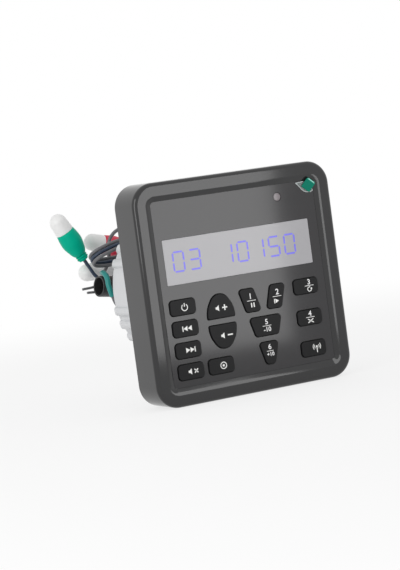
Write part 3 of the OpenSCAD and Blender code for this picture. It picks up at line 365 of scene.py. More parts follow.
class Shaper:
    """One mesh shaped in edit mode as by hand, in millimetres.

    A flat piece is drawn in X and Y with Z towards the viewer and is turned upright when it is done.
    """

    def __init__(self, name: str) -> None:
        """Starts with nothing selected and no mesh yet.

        Args:
            name: Name of the piece.
        """
        self.name = name
        self.piece: Optional[bpy.types.Object] = None
        if bpy.context.object and bpy.context.object.mode != "OBJECT":
            bpy.ops.object.mode_set(mode="OBJECT")
        bpy.ops.object.select_all(action="DESELECT")

    def _disc(self, sides: int, radius: float, z: float) -> list:
        """Adds a filled circle, which is then all that is selected.

        Args:
            sides: Sides of the circle.
            radius: Its radius.
            z: Its height.

        Returns:
            Its vertices in order.
        """
        if self.piece is None:
            bpy.ops.mesh.primitive_circle_add(vertices=sides, radius=radius * MM, fill_type="NGON")
            self.piece = bpy.context.object
            self.piece.name = self.name
            bpy.ops.object.mode_set(mode="EDIT")
            bpy.ops.mesh.select_mode(type="FACE")
            bpy.ops.mesh.select_all(action="SELECT")
        else:
            bpy.ops.mesh.select_all(action="DESELECT")
            bpy.ops.mesh.primitive_circle_add(vertices=sides, radius=radius * MM, fill_type="NGON")
        bpy.ops.transform.translate(value=(0, 0, z * MM))
        return [v for v in self.mesh.verts if v.select]

    @property
    def mesh(self) -> bmesh.types.BMesh:
        """The mesh under edit."""
        return bmesh.from_edit_mesh(self.piece.data)

    def polygon(self, points: Sequence[Point], z: float) -> "Shaper":
        """Adds a flat face with the given corners, anticlockwise, facing the viewer.

        Args:
            points: Corners in X and Y.
            z: Height of the face.

        Returns:
            This shaper, with the face selected.
        """
        corners = self._disc(len(points), 1.0, z)
        for corner, (x, y) in zip(corners, points):
            corner.co = (x * MM, y * MM, z * MM)
        bmesh.update_edit_mesh(self.piece.data)
        made = [f for f in self.mesh.faces if f.select]
        for face in made:
            face.normal_update()
        if made and made[0].normal.z < 0:
            bpy.ops.mesh.flip_normals()
        return self

    def round_corners(self, offsets: Sequence[tuple[Point, float]], segments: int = 6) -> "Shaper":
        """Rounds corners of the selected face.

        Args:
            offsets: Each corner and how far from it the rounding starts.
            segments: Steps of each rounding.

        Returns:
            This shaper, with the face selected.
        """
        level = next(v.co.z for v in self.mesh.verts if v.select)
        for offset in sorted({amount for _, amount in offsets}):
            places = [Vector((x * MM, y * MM, level)) for (x, y), amount in offsets if amount == offset]
            bpy.ops.mesh.select_mode(type="VERT")
            bpy.ops.mesh.select_all(action="DESELECT")
            for vertex in self.mesh.verts:
                vertex.select_set(any((vertex.co - place).length < SAME_PLACE for place in places))
            bmesh.update_edit_mesh(self.piece.data)
            bpy.ops.mesh.bevel(offset=offset * MM, segments=segments, profile=0.5, affect="VERTICES")
        return self.pick_level(level / MM)

    def pick(self, test: Callable[[bmesh.types.BMFace], bool]) -> "Shaper":
        """Selects the faces that pass a test.

        Args:
            test: Tells whether a face is wanted.

        Returns:
            This shaper, with those faces selected.
        """
        bpy.ops.mesh.select_mode(type="FACE")
        bpy.ops.mesh.select_all(action="DESELECT")
        for face in self.mesh.faces:
            face.select_set(test(face))
        bmesh.update_edit_mesh(self.piece.data)
        return self

    def pick_level(self, z: float, facing: Facing = Facing.EITHER) -> "Shaper":
        """Selects the flat faces at a height, all of them or those that face one way."""
        return self.pick(lambda face: all(abs(v.co.z - z * MM) < SAME_PLACE for v in face.verts)
                         and (not facing or face.normal.z * facing > MOSTLY))

    def extrude(self, height: float) -> "Shaper":
        """Pulls the selected faces along Z."""
        bpy.ops.mesh.extrude_region_move(TRANSFORM_OT_translate={"value": (0, 0, height * MM)})
        return self

    def inset(self, thickness: float, depth: float = 0.0) -> "Shaper":
        """Insets the selected faces and lifts them along their normal."""
        bpy.ops.mesh.inset(thickness=thickness * MM, depth=depth * MM, use_even_offset=True)
        return self

    def resize(self, x: float, y: float, centre: Point = (0.0, 0.0)) -> "Shaper":
        """Scales the selection in X and Y about a centre."""
        bpy.ops.transform.resize(value=(x, y, 1), center_override=(centre[0] * MM, centre[1] * MM, 0))
        return self

    def soften_rim(self, offset: float, segments: int) -> "Shaper":
        """Bevels the edges round the selected faces.

        Args:
            offset: Width of the bevel.
            segments: Its steps.

        Returns:
            This shaper.
        """
        bpy.ops.mesh.region_to_loop()
        bpy.ops.mesh.bevel(offset=offset * MM, segments=segments, profile=0.5, affect="EDGES")
        return self

    def lathe(self, stations: Sequence[Point], sides: int = 32) -> "Shaper":
        """Draws a round form along Z by pulling a circle from station to station.

        Args:
            stations: Height and radius at each station.
            sides: Sides of the circle.

        Returns:
            This shaper.
        """
        (z, radius), *rest = stations
        self._disc(sides, radius, z)
        for next_z, next_radius in rest:
            self.extrude(next_z - z)
            share = next_radius / radius
            self.resize(share, share)
            z, radius = next_z, next_radius
        return self

    def placed(self, place: Optional[Matrix] = None, angle: float = SMOOTH_ANGLE) -> bpy.types.Object:
        """Ends the modelling: sets the piece in place and smooths it.

        Args:
            place: Where the drawing goes; by default it is turned upright.
            angle: Edges flatter than this are smoothed.

        Returns:
            The piece, not yet dressed.
        """
        bpy.ops.mesh.select_all(action="SELECT")
        bpy.ops.mesh.normals_make_consistent(inside=False)
        bpy.ops.object.mode_set(mode="OBJECT")
        piece = self.piece
        piece.matrix_world = place or Matrix.Rotation(math.pi / 2, 4, "X")
        bpy.ops.object.select_all(action="DESELECT")
        piece.select_set(True)
        bpy.context.view_layer.objects.active = piece
        bpy.ops.object.transform_apply(location=True, rotation=True, scale=True)
        bpy.ops.object.shade_smooth_by_angle(angle=math.radians(angle))
        bpy.ops.object.modifier_add(type="WEIGHTED_NORMAL")
        piece.modifiers[-1].keep_sharp = True
        bpy.ops.object.modifier_apply(modifier=piece.modifiers[-1].name)
        return piece

    def done(self, finish: Finish, body: str = CHASSIS, replaces: Sequence[str] = (), slot: str = "",
             place: Optional[Matrix] = None, angle: float = SMOOTH_ANGLE) -> bpy.types.Object:
        """Ends the modelling, sets the piece in place and dresses it, as placed and dress do."""
        return dress(self.placed(place, angle), finish, body, replaces)


def copied(model: bpy.types.Object, name: str, move: Matrix) -> bpy.types.Object:
    """Copies a piece, with a mesh of its own.

    Args:
        model: The piece that was modelled.
        name: Name of the copy.
        move: From the model's place to that of the copy.

    Returns:
        The copy, not yet dressed.
    """
    copy = bpy.data.objects.new(name, model.data.copy())
    copy.data.transform(move)
    bpy.context.scene.collection.objects.link(copy)
    return copy


def dress(piece: bpy.types.Object, finish: Finish, body: str, replaces: Sequence[str]) -> bpy.types.Object:
    """Gives a piece its material and body, and hides the nodes that it replaces.

    Args:
        piece: The piece.
        finish: What it is made of.
        body: Body that it moves with.
        replaces: Nodes that it stands for.

    Returns:
        The piece.
    """
    piece.data.materials.clear()
    piece.data.materials.append(finish.material())
    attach(piece, body)
    if replaces:
        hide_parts(*replaces)
    LOG.info("%s: %s", piece.name, finish.name)
    return piece


def aimed(start: Place, way: Place) -> Matrix:
    """Gives the matrix that stands a Z axis on a point along a way, from millimetres to metres."""
    turn = Vector((0, 0, 1)).rotation_difference(Vector(way).normalized())
    return Matrix.Translation(Vector(start) * MM) @ turn.to_matrix().to_4x4()


def arc(centre: Point, radius: float, start: float, end: float, steps: int) -> list[Point]:
    """Gives points of an arc.

    Args:
        centre: Its centre.
        radius: Its radius.
        start: First angle in degrees.
        end: Last angle in degrees.
        steps: Steps between the points.

    Returns:
        The points in order.
    """
    angles = [math.radians(start + (end - start) * i / steps) for i in range(steps + 1)]
    return [(centre[0] + radius * math.cos(a), centre[1] + radius * math.sin(a)) for a in angles]


def box_points(x: float, y: float, width: float, height: float) -> list[Point]:
    """Gives the corners of an upright oblong about its centre, anticlockwise."""
    return [(x - width / 2, y - height / 2), (x + width / 2, y - height / 2),
            (x + width / 2, y + height / 2), (x - width / 2, y + height / 2)]


@dataclass
class Bezel:
    """The front ring: one profile round four sides and four rounded corners."""

    size: float = 116.0
    depth: float = 22.8
    corner: float = 12.0
    edge: float = 2.4
    ring: float = 7.1
    ridge: float = 1.0
    slope_w: float = 2.7
    slope_depth: float = 1.3
    recess: float = 2.0
    ledge: float = 1.2
    ledge_t: float = 1.8
    wall: float = 2.6
    step: float = 2.0
    step_z: float = 5.3
    core_z: float = 20.3
    core_inset: float = 7.5
    core_slant: float = 0.5
    corner_steps: int = 24
    edge_steps: int = 8
    ridge_steps: int = 4
    same_area: float = 0.01
    level_normal: float = 0.9
    smooth_angle: float = 30.0

    def build(self) -> None:
        """Models the ring from its rear rim to the front, then its inside, and joins the two."""
        points = box_points(0, 0, self.size, self.size)
        shape = Shaper("bezel_ring").polygon(points, 0)
        shape.round_corners([(p, self.corner) for p in points], self.corner_steps)
        shape.extrude(self.depth - self.edge)
        self._turn_edge(shape)
        shape.inset(self.ring - self.edge - self.ridge)
        self._ridge(shape)
        shape.extrude(-self.recess)
        shape.inset(self.ledge)
        panel_z = self.depth - self.slope_depth - self.recess
        self._inside(shape, panel_z)
        shape.done(BEZEL_BLACK, replaces=["front_bezel"], slot="bezel_plastic", angle=self.smooth_angle)

    def _turn_edge(self, shape: Shaper) -> None:
        """Turns the front edge over by a quarter round.

        Args:
            shape: The ring, with its front face selected.
        """
        angles = [math.pi / 2 * i / self.edge_steps for i in range(self.edge_steps + 1)]
        for a, b in zip(angles, angles[1:]):
            shape.inset(self.edge * (math.cos(a) - math.cos(b)), self.edge * (math.sin(b) - math.sin(a)))

    def _ridge(self, shape: Shaper) -> None:
        """Lets the ring fall off over a small round into the slope.

        Args:
            shape: The ring, with its front face selected.
        """
        fall = math.atan2(self.slope_depth, self.slope_w)
        length = 2 * self.ridge / self.ridge_steps
        angles = [fall * (i + 0.5) / self.ridge_steps for i in range(self.ridge_steps)]
        for angle in angles:
            shape.inset(length * math.cos(angle), -length * math.sin(angle))
        done_w = sum(length * math.cos(angle) for angle in angles)
        done_d = sum(length * math.sin(angle) for angle in angles)
        shape.inset(self.slope_w + self.ridge - done_w, -(self.slope_depth - done_d))

    def _inside(self, shape: Shaper, panel_z: float) -> None:
        """Hollows the ring from its rear and joins the two openings.

        Args:
            shape: The ring, with its front opening drawn.
            panel_z: Height of the ledge that frames the panel.
        """
        ledge_z = panel_z - self.ledge_t
        full = self.ring + self.slope_w + self.ledge
        shape.pick_level(0, Facing.REAR)
        shape.inset(self.wall).extrude(self.step_z).inset(self.step).extrude(self.core_z - self.step_z)
        shape.inset(self.core_inset - self.wall - self.step)
        shape.inset(self.core_slant, self.core_z - ledge_z)
        shape.inset(full - self.core_inset - self.core_slant)
        rear = [f for f in shape.mesh.faces if f.select]
        area = rear[0].calc_area()
        shape.pick(lambda face: abs(face.calc_area() - area) < area * self.same_area
                   and abs(face.normal.z) > self.level_normal)
        bpy.ops.mesh.delete(type="ONLY_FACE")
        bpy.ops.mesh.select_mode(type="EDGE")
        bpy.ops.mesh.select_all(action="DESELECT")
        for edge in shape.mesh.edges:
            edge.select_set(edge.is_boundary)
        bmesh.update_edit_mesh(shape.piece.data)
        bpy.ops.mesh.bridge_edge_loops()


@dataclass
class Display:
    """The pale window with its lit segments, and the sensor's lens."""

    cells: str = "03 10150"
    first_x: float = -39.6
    last_x: float = 35.7
    low_z: float = 10.7
    high_z: float = 21.7
    digit_share: float = 0.74
    stroke: float = 0.95
    gap: float = 0.25
    proud: float = 0.03
    sunk: float = 0.02
    corner: float = 0.6
    rim: float = 0.12
    rim_steps: int = 2
    dome: Sequence[Point] = ((0.45, 1.0), (0.2, 0.93), (0.08, 0.75), (0.0, 0.3))
    digits: dict = field(default_factory=lambda: {
        "0": "abcdef", "1": "bc", "2": "abged", "3": "abgcd", "4": "fgbc", "5": "afgcd",
        "6": "afgedc", "7": "abc", "8": "abcdefg", "9": "abcdfg", " ": "",
    })

    def build(self) -> None:
        """Models the window, the segments and the lens."""
        self._window()
        self._segments()
        self._lens()

    def _window(self) -> None:
        """Models the window with a fine rounded rim."""
        low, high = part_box("display_window")
        points = box_points((low.x + high.x) / 2 / MM, (low.z + high.z) / 2 / MM,
                            (high.x - low.x) / MM, (high.z - low.z) / MM)
        shape = Shaper("display_pane").polygon(points, -high.y / MM)
        shape.round_corners([(p, self.corner) for p in points]).extrude((high.y - low.y) / MM)
        shape.pick_level(-low.y / MM, Facing.FRONT).soften_rim(self.rim, self.rim_steps)
        shape.done(DISPLAY_PALE, replaces=["display_window"], slot="window_clear")

    def _segments(self) -> None:
        """Models the lit segments, just proud of the window."""
        shape = Shaper("display_segments")
        face = -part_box("display_window")[0].y / MM
        pitch = (self.last_x - self.first_x) / len(self.cells)
        width = pitch * self.digit_share
        for number, sign in enumerate(self.cells):
            left = self.first_x + number * pitch
            for name in self.digits[sign]:
                shape.polygon(self._segment(name, left, width), face - self.sunk)
                shape.extrude(self.sunk + self.proud)
        shape.done(DISPLAY_LIT)

    def _segment(self, name: str, left: float, width: float) -> list[Point]:
        """Gives the pointed bar of one segment of a digit.

        Args:
            name: The segment's letter, a to g.
            left: Left edge of the digit.
            width: Width of the digit.

        Returns:
            Its six corners, anticlockwise.
        """
        middle = (self.low_z + self.high_z) / 2
        half = self.stroke / 2
        inner_left, inner_right = left + half, left + width - half
        levels = {"a": self.high_z - half, "g": middle, "d": self.low_z + half}
        if name in levels:
            z, x0, x1 = levels[name], inner_left + self.gap, inner_right - self.gap
            return [(x0, z), (x0 + half, z - half), (x1 - half, z - half), (x1, z), (x1 - half, z + half),
                    (x0 + half, z + half)]
        x = inner_left if name in "ef" else inner_right
        low, high = (middle, levels["a"]) if name in "bf" else (levels["d"], middle)
        z0, z1 = low + self.gap, high - self.gap
        return [(x, z0), (x + half, z0 + half), (x + half, z1 - half), (x, z1), (x - half, z1 - half),
                (x - half, z0 + half)]

    def _lens(self) -> None:
        """Models the sensor's lens with a shallow dome."""
        low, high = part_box("sensor_window")
        radius = (high.x - low.x) / 2 / MM
        depth = (high.y - low.y) / MM
        stations = [(0, radius), *((depth - below, radius * share) for below, share in self.dome)]
        place = aimed(((low.x + high.x) / 2 / MM, high.y / MM, (low.z + high.z) / 2 / MM), (0, -1, 0))
        shape = Shaper("sensor_lens").lathe(stations)
        shape.done(SENSOR_SMOKE, replaces=["sensor_window"], slot="sensor_clear", place=place)


@dataclass
class PullTab:
    """The green tab on the panel's protective film, and the clear film that it lifts."""

    root: Place = (43.3, -21.6, 43.5)
    turn: float = 50.0
    lift: float = 16.0
    length: float = 6.0
    width: float = 5.7
    thickness: float = 0.35
    corner: float = 1.0
    corner_steps: int = 5
    rim: float = 0.1
    rim_steps: int = 2
    # Sizes of the pale strip on the tab's far end, which is a painted highlight of the edge.
    highlight_reach: float = 0.75
    highlight_back: float = 0.5
    highlight_front: float = 0.9
    highlight_margin: float = 0.1
    highlight_sunk: float = 0.02
    highlight_t: float = 0.06
    film: Sequence[Point] = (
        (1.7, -4.3), (2.4, -4.0), (2.6, -2.6), (2.8, 3.4), (-0.5, 6.8),
        (-1.1, 3.0), (-1.5, 1.6), (-1.3, -0.4), (-0.6, -2.0), (0.5, -3.4),
    )
    film_z: float = -0.05
    film_t: float = 0.1
    # Width and lift of the pale rim, a painted glint of the film's edge.
    painted_film_glint: float = 0.32
    glint_gap: float = 0.02

    def build(self) -> None:
        """Models the tab, with a pale strip on its far end painted as the edge's highlight, and the film
        beside it.
        """
        half = self.width / 2
        end = self.length
        shape = Shaper("film_tab").polygon([(0, -half), (end, -half), (end, half), (0, half)], 0)
        ends = [((end, -half), self.corner), ((end, half), self.corner)]
        shape.round_corners(ends, self.corner_steps).extrude(self.thickness)
        shape.pick_level(self.thickness, Facing.FRONT).soften_rim(self.rim, self.rim_steps)
        shape.done(TAB_GREEN, replaces=["film_pull_tab"], slot="film_green", place=self._place(self.lift))
        self._painted_highlight()
        self._film()

    def _painted_highlight(self) -> None:
        """Models the pale strip on the tab's far end, a painted highlight of the edge catching light."""
        end, base = self.length, self.thickness - self.highlight_sunk
        back, front = self.width / 2 - self.highlight_back, self.width / 2 - self.highlight_front
        shape = Shaper("film_tab_lip").polygon([
            (end - self.highlight_reach, -back), (end - self.highlight_margin, -front),
            (end - self.highlight_margin, front), (end - self.highlight_reach, back),
        ], base)
        shape.extrude(self.highlight_t).pick_level(base + self.highlight_t, Facing.FRONT)
        shape.soften_rim(self.highlight_sunk, self.rim_steps)
        # The strip's pale colour is a painted highlight, not a part of the tab.
        shape.done(TAB_PAINTED_HIGHLIGHT, place=self._place(self.lift))

    def _film(self) -> None:
        """Models the film as a clear sheet, with a pale rim painted on as the glint of its edge."""
        sheet = Shaper("film_sheet").polygon(self.film, self.film_z)
        sheet.extrude(self.film_t / 2)
        sheet.done(FILM_CLEAR, place=self._place(0))
        # The rim's pale colour is a painted glint of the film's edge.
        rim = Shaper("film_rim").polygon(self.film, self.glint_gap)
        rim.inset(self.painted_film_glint)
        bpy.ops.mesh.delete(type="FACE")
        rim.pick(lambda face: True).extrude(self.film_t / 2)
        rim.done(FILM_PAINTED_GLINT, place=self._place(0))

    def _place(self, lift: float) -> Matrix:
        """Gives where the tab lies: along it X, across it Y, and off the panel Z.

        Args:
            lift: Degrees that it is lifted off the panel.

        Returns:
            The matrix from the drawing to its place.
        """
        upright = Matrix.Rotation(math.pi / 2, 4, "X")
        turned = Matrix.Rotation(math.radians(self.turn), 4, "Z")
        lifted = Matrix.Rotation(math.radians(-lift), 4, "Y")
        return Matrix.Translation(Vector(self.root) * MM) @ upright @ turned @ lifted


@dataclass
class Key:
    """One silicone key: its outline, its node and the marks printed on it."""

    name: str
    corners: Sequence[Corner]
    marks: Sequence[Sequence[Point]] = ()
    digits: Sequence[tuple[str, float, float, float]] = ()
    shift: float = 0.0

    top: float = 22.5
    root: float = 19.3
    bevel: float = 0.4
    flange: float = 0.8
    flange_t: float = 0.8
    ink: float = 0.03
    ink_sunk: float = 0.02
    corner_steps: int = 8
    bevel_steps: int = 5
    piece: Optional[bpy.types.Object] = None

    @property
    def middle(self) -> Point:
        """Middle of the key's outline.

        Returns:
            Its place across and up the face.
        """
        xs = [c[0] for c in self.corners]
        ys = [c[1] for c in self.corners]
        return (min(xs) + max(xs)) / 2, (min(ys) + max(ys)) / 2

    @property
    def form(self) -> tuple[Corner, ...]:
        """Outline about its middle, which keys of one form share."""
        x0, y0 = self.middle
        return tuple((round(x - x0, 4), round(y - y0, 4), radius) for x, y, radius in self.corners)

    def build(self, models: dict[tuple[Corner, ...], "Key"]) -> None:
        """Models the key, or copies one of the same form, and prints its marks.

        Args:
            models: The first key of each form.
        """
        node = "key_" + self.name
        body = node + "_body"
        model = models.setdefault(self.form, self)
        if model is self:
            self.piece = self._model()
        else:
            (x, z), (model_x, model_z) = self.middle, model.middle
            move = Matrix.Translation(Vector((x - model_x, 0, z - model_z)) * MM)
            self.piece = copied(model.piece, self.name + "_cap", move)
        dress(self.piece, KEY_BLACK, body, [node])
        if self.marks or self.digits:
            self._print(body)

    def _model(self) -> bpy.types.Object:
        """Models the key with its flange.

        Returns:
            The key, not yet dressed.
        """
        points = [(x, y) for x, y, _ in self.corners]
        shape = Shaper(self.name + "_cap").polygon(points, self.root)
        shape.round_corners(self._offsets(), self.corner_steps)
        shape.extrude(self.top - self.root)
        shape.pick_level(self.top, Facing.FRONT).soften_rim(self.bevel, self.bevel_steps)
        width = max(p[0] for p in points) - min(p[0] for p in points)
        height = max(p[1] for p in points) - min(p[1] for p in points)
        shape.pick_level(self.root, Facing.REAR).extrude(0)
        shape.resize(1 + 2 * self.flange / width, 1 + 2 * self.flange / height, self.middle)
        return shape.extrude(-self.flange_t).placed()

    def _offsets(self) -> list[tuple[Point, float]]:
        """Gives each corner and how far from it its rounding starts.

        Returns:
            The corners with their distances.
        """
        made = []
        for i, (x, y, radius) in enumerate(self.corners):
            before, after = self.corners[i - 1], self.corners[(i + 1) % len(self.corners)]
            come, leave = Vector((x - before[0], y - before[1])), Vector((after[0] - x, after[1] - y))
            made.append(((x, y), round(radius * math.tan(come.angle(leave) / 2), 5)))
        return made

    def _print(self, body: str) -> None:
        """Models the printed marks and digits on the key.

        Args:
            body: Body that the key moves with.
        """
        x0, y0 = self.middle
        x0 += self.shift
        shape = Shaper(self.name + "_legend")
        for mark in self.marks:
            shape.polygon([(x0 + x, y0 + y) for x, y in mark], self.top - self.ink_sunk)
            shape.extrude(self.ink_sunk + self.ink)
        legend = shape.done(LEGEND_WHITE, body)
        for text, size, x, y in self.digits:
            join_digits(legend, text, size, (x0 + x, y0 + y, self.top), self.ink)


def join_digits(legend: bpy.types.Object, text: str, size: float, place: Place, ink: float,
                boldness: float = 0.06) -> None:
    """Adds plain digits to a legend.

    Args:
        legend: The mesh to join them to.
        text: The digits.
        size: Their size in millimetres.
        place: Their middle, in X, height and distance to the viewer.
        ink: How far they stand out.
        boldness: How far their outlines are widened.
    """
    bpy.ops.object.select_all(action="DESELECT")
    bpy.ops.object.text_add(rotation=(math.pi / 2, 0, 0))
    digits = bpy.context.object
    digits.data.body = text
    digits.data.size = size * MM
    digits.data.align_x = "CENTER"
    digits.data.align_y = "CENTER"
    digits.data.offset = boldness * MM
    digits.data.extrude = ink * MM
    digits.data.resolution_u = 3
    bpy.ops.object.convert(target="MESH")
    digits.location = (place[0] * MM, -place[2] * MM, place[1] * MM)
    bpy.ops.object.transform_apply(location=True, rotation=True, scale=True)
    legend.select_set(True)
    bpy.context.view_layer.objects.active = legend
    bpy.ops.object.join()


class Side(IntEnum):
    """A side of the face, as a sign along X."""

    LEFT = -1
    RIGHT = 1


class Dome(IntEnum):
    """Which way a volume key is domed, as a sign along Z."""

    DOWN = -1
    UP = 1


@dataclass
class KeyField:
    """All keys of the face, with plain marks on them."""

    face_x: float = -0.9
    key_w: float = 14.8
    key_h: float = 8.1
    key_r: float = 2.0
    column: float = 36.7
    select_x: float = -19.0
    top_z: float = -7.2
    pitch: float = 11.1
    volume_w: float = 16.0
    volume_h: float = 12.55
    volume_x: float = -15.2
    volume_z: float = -17.75
    volume_part: float = 1.65
    dome_foot_r: float = 0.7
    dome_shoulder: float = 0.414
    dome_shoulder_r: float = 0.8
    dome_crown: float = 0.207
    dome_crown_r: float = 0.35
    wedge_x: float = 10.3
    wedge_top: float = 14.1
    wedge_foot: float = 2.6
    wedge_top_z: float = -3.4
    wedge_foot_z: float = -44.5
    wedge_key_w: float = 9.1
    wedge_part: float = 3.2
    wedge_r: float = 1.8
    wedge_tip_r: float = 2.0
    wedge_share: Sequence[float] = (0.36, 0.297, 0.343)
    rule_t: float = 0.28

    def build(self) -> None:
        """Models every key."""
        models: dict[tuple[Corner, ...], Key] = {}
        for key in self.keys():
            key.build(models)

    def keys(self) -> list[Key]:
        """Gives the keys with their outlines and marks.

        Returns:
            The keys, not yet modelled.
        """
        left, right, rows = -self.column, self.column, [self.top_z - i * self.pitch for i in range(4)]
        third, fourth = self._oblong(right, rows[0]), self._oblong(right, (rows[1] + rows[2]) / 2)
        fifth, sixth = self._wedge(1, self.wedge_r), self._wedge(2, self.wedge_tip_r)
        muted = [*self._speaker(-1.4, 0), *self._cross(1.9, 0)]
        louder = [*self._speaker(-1.9, -1.0), *self._sign(2.2, -1.0, True)]
        quieter = [*self._speaker(-1.9, 0.4), *self._sign(2.2, 0.4, False)]
        pause = [self._rule(0, -0.2), *self._pause(0.5, -2.6)]
        intro = [self._rule(0, -0.2), *self._intro(-0.5, -2.6)]
        repeat = [self._rule(0, 0), *self._repeat(0, -1.9)]
        shuffle = [self._rule(0, 0), *self._shuffle(0, -1.9)]
        back_ten = [("5", 3.9, 0, 2.0), ("-10", 3.4, 0, -2.0)]
        on_ten = [("6", 3.9, 0, 3.1), ("+10", 2.8, 0, -0.8)]
        return [
            Key("power", self._oblong(left, rows[0]), self._power(), shift=0.8),
            Key("previous", self._oblong(left, rows[1]), self._skip(Side.LEFT), shift=0.9),
            Key("next", self._oblong(left, rows[2]), self._skip(Side.RIGHT), shift=0.9),
            Key("mute", self._oblong(left, rows[3]), muted, shift=0.8),
            Key("select", self._oblong(self.select_x, rows[3]), self._enter(), shift=1.0),
            Key("volume_up", self._dome(Dome.UP), louder),
            Key("volume_down", self._dome(Dome.DOWN), quieter, shift=1.2),
            Key("preset_1", self._side(Side.LEFT), pause, [("1", 4.2, -0.4, 2.0)], 0.6),
            Key("preset_2", self._side(Side.RIGHT), intro, [("2", 4.2, 0.4, 2.0)], 0.4),
            Key("preset_3", third, repeat, [("3", 3.9, 0, 1.8)], 1.9),
            Key("preset_4", fourth, shuffle, [("4", 3.9, 0, 1.8)], 0.2),
            Key("preset_5", fifth, [self._rule(0, 0)], back_ten),
            Key("preset_6", sixth, [self._rule(0, 1.0, 4.0)], on_ten),
            Key("band", self._oblong(right, rows[3]), self._waves(), shift=1.8),
        ]

    def _oblong(self, x: float, z: float) -> list[Corner]:
        """Gives an oblong key's corners."""
        return [(px, pz, self.key_r) for px, pz in box_points(self.face_x + x, z, self.key_w, self.key_h)]

    def _dome(self, up: Dome) -> list[Corner]:
        """Gives a volume key's corners, domed up or down.

        Args:
            up: Which way it is domed.

        Returns:
            Its corners with their radii, anticlockwise.
        """
        half, top = self.volume_w / 2, self.dome_crown * self.volume_w
        side_r, top_r = self.dome_shoulder_r * self.volume_w, self.dome_crown_r * self.volume_w
        shape = [(-half, 0, self.dome_foot_r), (half, 0, self.dome_foot_r),
                 (half, self.dome_shoulder, side_r), (top, 1, top_r),
                 (-top, 1, top_r), (-half, self.dome_shoulder, side_r)]
        middle, base = self.face_x + self.volume_x, self.volume_z + up * self.volume_part
        made = [(middle + x, base + up * z * self.volume_h, radius) for x, z, radius in shape]
        return made if up is Dome.UP else made[::-1]

    def _half_width(self, z: float) -> float:
        """Gives half the wedge's width at a height."""
        share = (z - self.wedge_foot_z) / (self.wedge_top_z - self.wedge_foot_z)
        return self.wedge_foot + (self.wedge_top - self.wedge_foot) * share

    def _row(self, row: int) -> tuple[float, float]:
        """Gives the top and foot of a row of the wedge.

        Args:
            row: Number of the row, 0 at the top.

        Returns:
            The two heights.
        """
        room = self.wedge_top_z - self.wedge_foot_z - 2 * self.wedge_part
        top = self.wedge_top_z - room * sum(self.wedge_share[:row]) - row * self.wedge_part
        return top, top - room * self.wedge_share[row]

    def _wedge(self, row: int, foot_r: float) -> list[Corner]:
        """Gives the corners of a middle key of the wedge.

        Args:
            row: Number of the row, 0 at the top.
            foot_r: Radius of the lower corners.

        Returns:
            Its corners with their radii, anticlockwise.
        """
        top, foot = self._row(row)
        x, a, b = self.face_x + self.wedge_x, self._half_width(foot), self._half_width(top)
        return [(x - a, foot, foot_r), (x + a, foot, foot_r),
                (x + b, top, self.wedge_r), (x - b, top, self.wedge_r)]

    def _side(self, way: Side) -> list[Corner]:
        """Gives the corners of the left or right slanted key of the wedge.

        Args:
            way: The side that it is on.

        Returns:
            Its corners with their radii, anticlockwise.
        """
        top, foot = self._row(0)
        x, a, b = self.face_x + self.wedge_x, self._half_width(foot), self._half_width(top)
        shape = [(-a, foot), (self.wedge_key_w - a, foot), (self.wedge_key_w - b, top), (-b, top)]
        made = [(x - way * px, pz, self.wedge_r) for px, pz in shape]
        return made if way is Side.LEFT else made[::-1]

    def _skip(self, way: Side) -> list[list[Point]]:
        """Gives two arrow heads against a bar, pointing left or right.

        Args:
            way: The side that they point to.

        Returns:
            The outlines of the marks.
        """
        marks = [box_points(2.7 * way, 0, 0.55, 2.7)]
        for middle in (-1.3, 1.2):
            tip, base = way * (middle + 1.15), way * (middle - 1.15)
            marks.append([(tip, 0.0), (base, 1.35 * way), (base, -1.35 * way)])
        return marks

    def _power(self) -> list[list[Point]]:
        """Gives the power mark: an open ring with a bar."""
        ring = arc((0, -0.2), 1.9, 125, 415, 24) + arc((0, -0.2), 1.45, 415, 125, 24)
        return [ring, box_points(0, 1.1, 0.5, 1.9)]

    def _speaker(self, x: float, z: float) -> list[list[Point]]:
        """Gives a small loudspeaker."""
        return [[(x - 1.2, z - 0.6), (x - 0.5, z - 0.6), (x + 0.7, z - 1.6),
                 (x + 0.7, z + 1.6), (x - 0.5, z + 0.6), (x - 1.2, z + 0.6)]]

    def _cross(self, x: float, z: float) -> list[list[Point]]:
        """Gives a small cross.

        Args:
            x: Its middle across the key.
            z: Its middle up the key.

        Returns:
            The outlines of the marks.
        """
        a, b = 1.0, 0.22
        return [[(x - a - b, z - a + b), (x - a + b, z - a - b),
                 (x + a + b, z + a - b), (x + a - b, z + a + b)],
                [(x - a + b, z + a + b), (x - a - b, z + a - b),
                 (x + a - b, z - a - b), (x + a + b, z - a + b)]]

    def _sign(self, x: float, z: float, plus: bool) -> list[list[Point]]:
        """Gives a plus or minus sign.

        Args:
            x: Its middle across the key.
            z: Its middle up the key.
            plus: Whether it is a plus.

        Returns:
            The outlines of the marks.
        """
        level = box_points(x, z, 3.0, 0.7)
        upright = [box_points(x, z + way * 0.92, 0.7, 1.14) for way in (1, -1)]
        return [level, *upright] if plus else [level]

    def _enter(self) -> list[list[Point]]:
        """Gives a ring with a dot."""
        ring = arc((0, 0), 1.9, 0, 359, 28) + arc((0, 0), 1.45, 359, 0, 28)
        return [ring, arc((0, 0), 0.65, 0, 330, 11)]

    def _rule(self, x: float, z: float, width: float = 5.2) -> list[Point]:
        """Gives the line between two marks."""
        return box_points(x, z, width, self.rule_t)

    def _pause(self, x: float, z: float) -> list[list[Point]]:
        """Gives two upright bars."""
        return [box_points(x - 0.75, z, 0.65, 2.3), box_points(x + 0.75, z, 0.65, 2.3)]

    def _intro(self, x: float, z: float) -> list[list[Point]]:
        """Gives an arrow head behind a bar."""
        return [box_points(x - 1.3, z, 0.5, 2.3), [(x - 0.7, z - 1.15), (x + 1.3, z), (x - 0.7, z + 1.15)]]

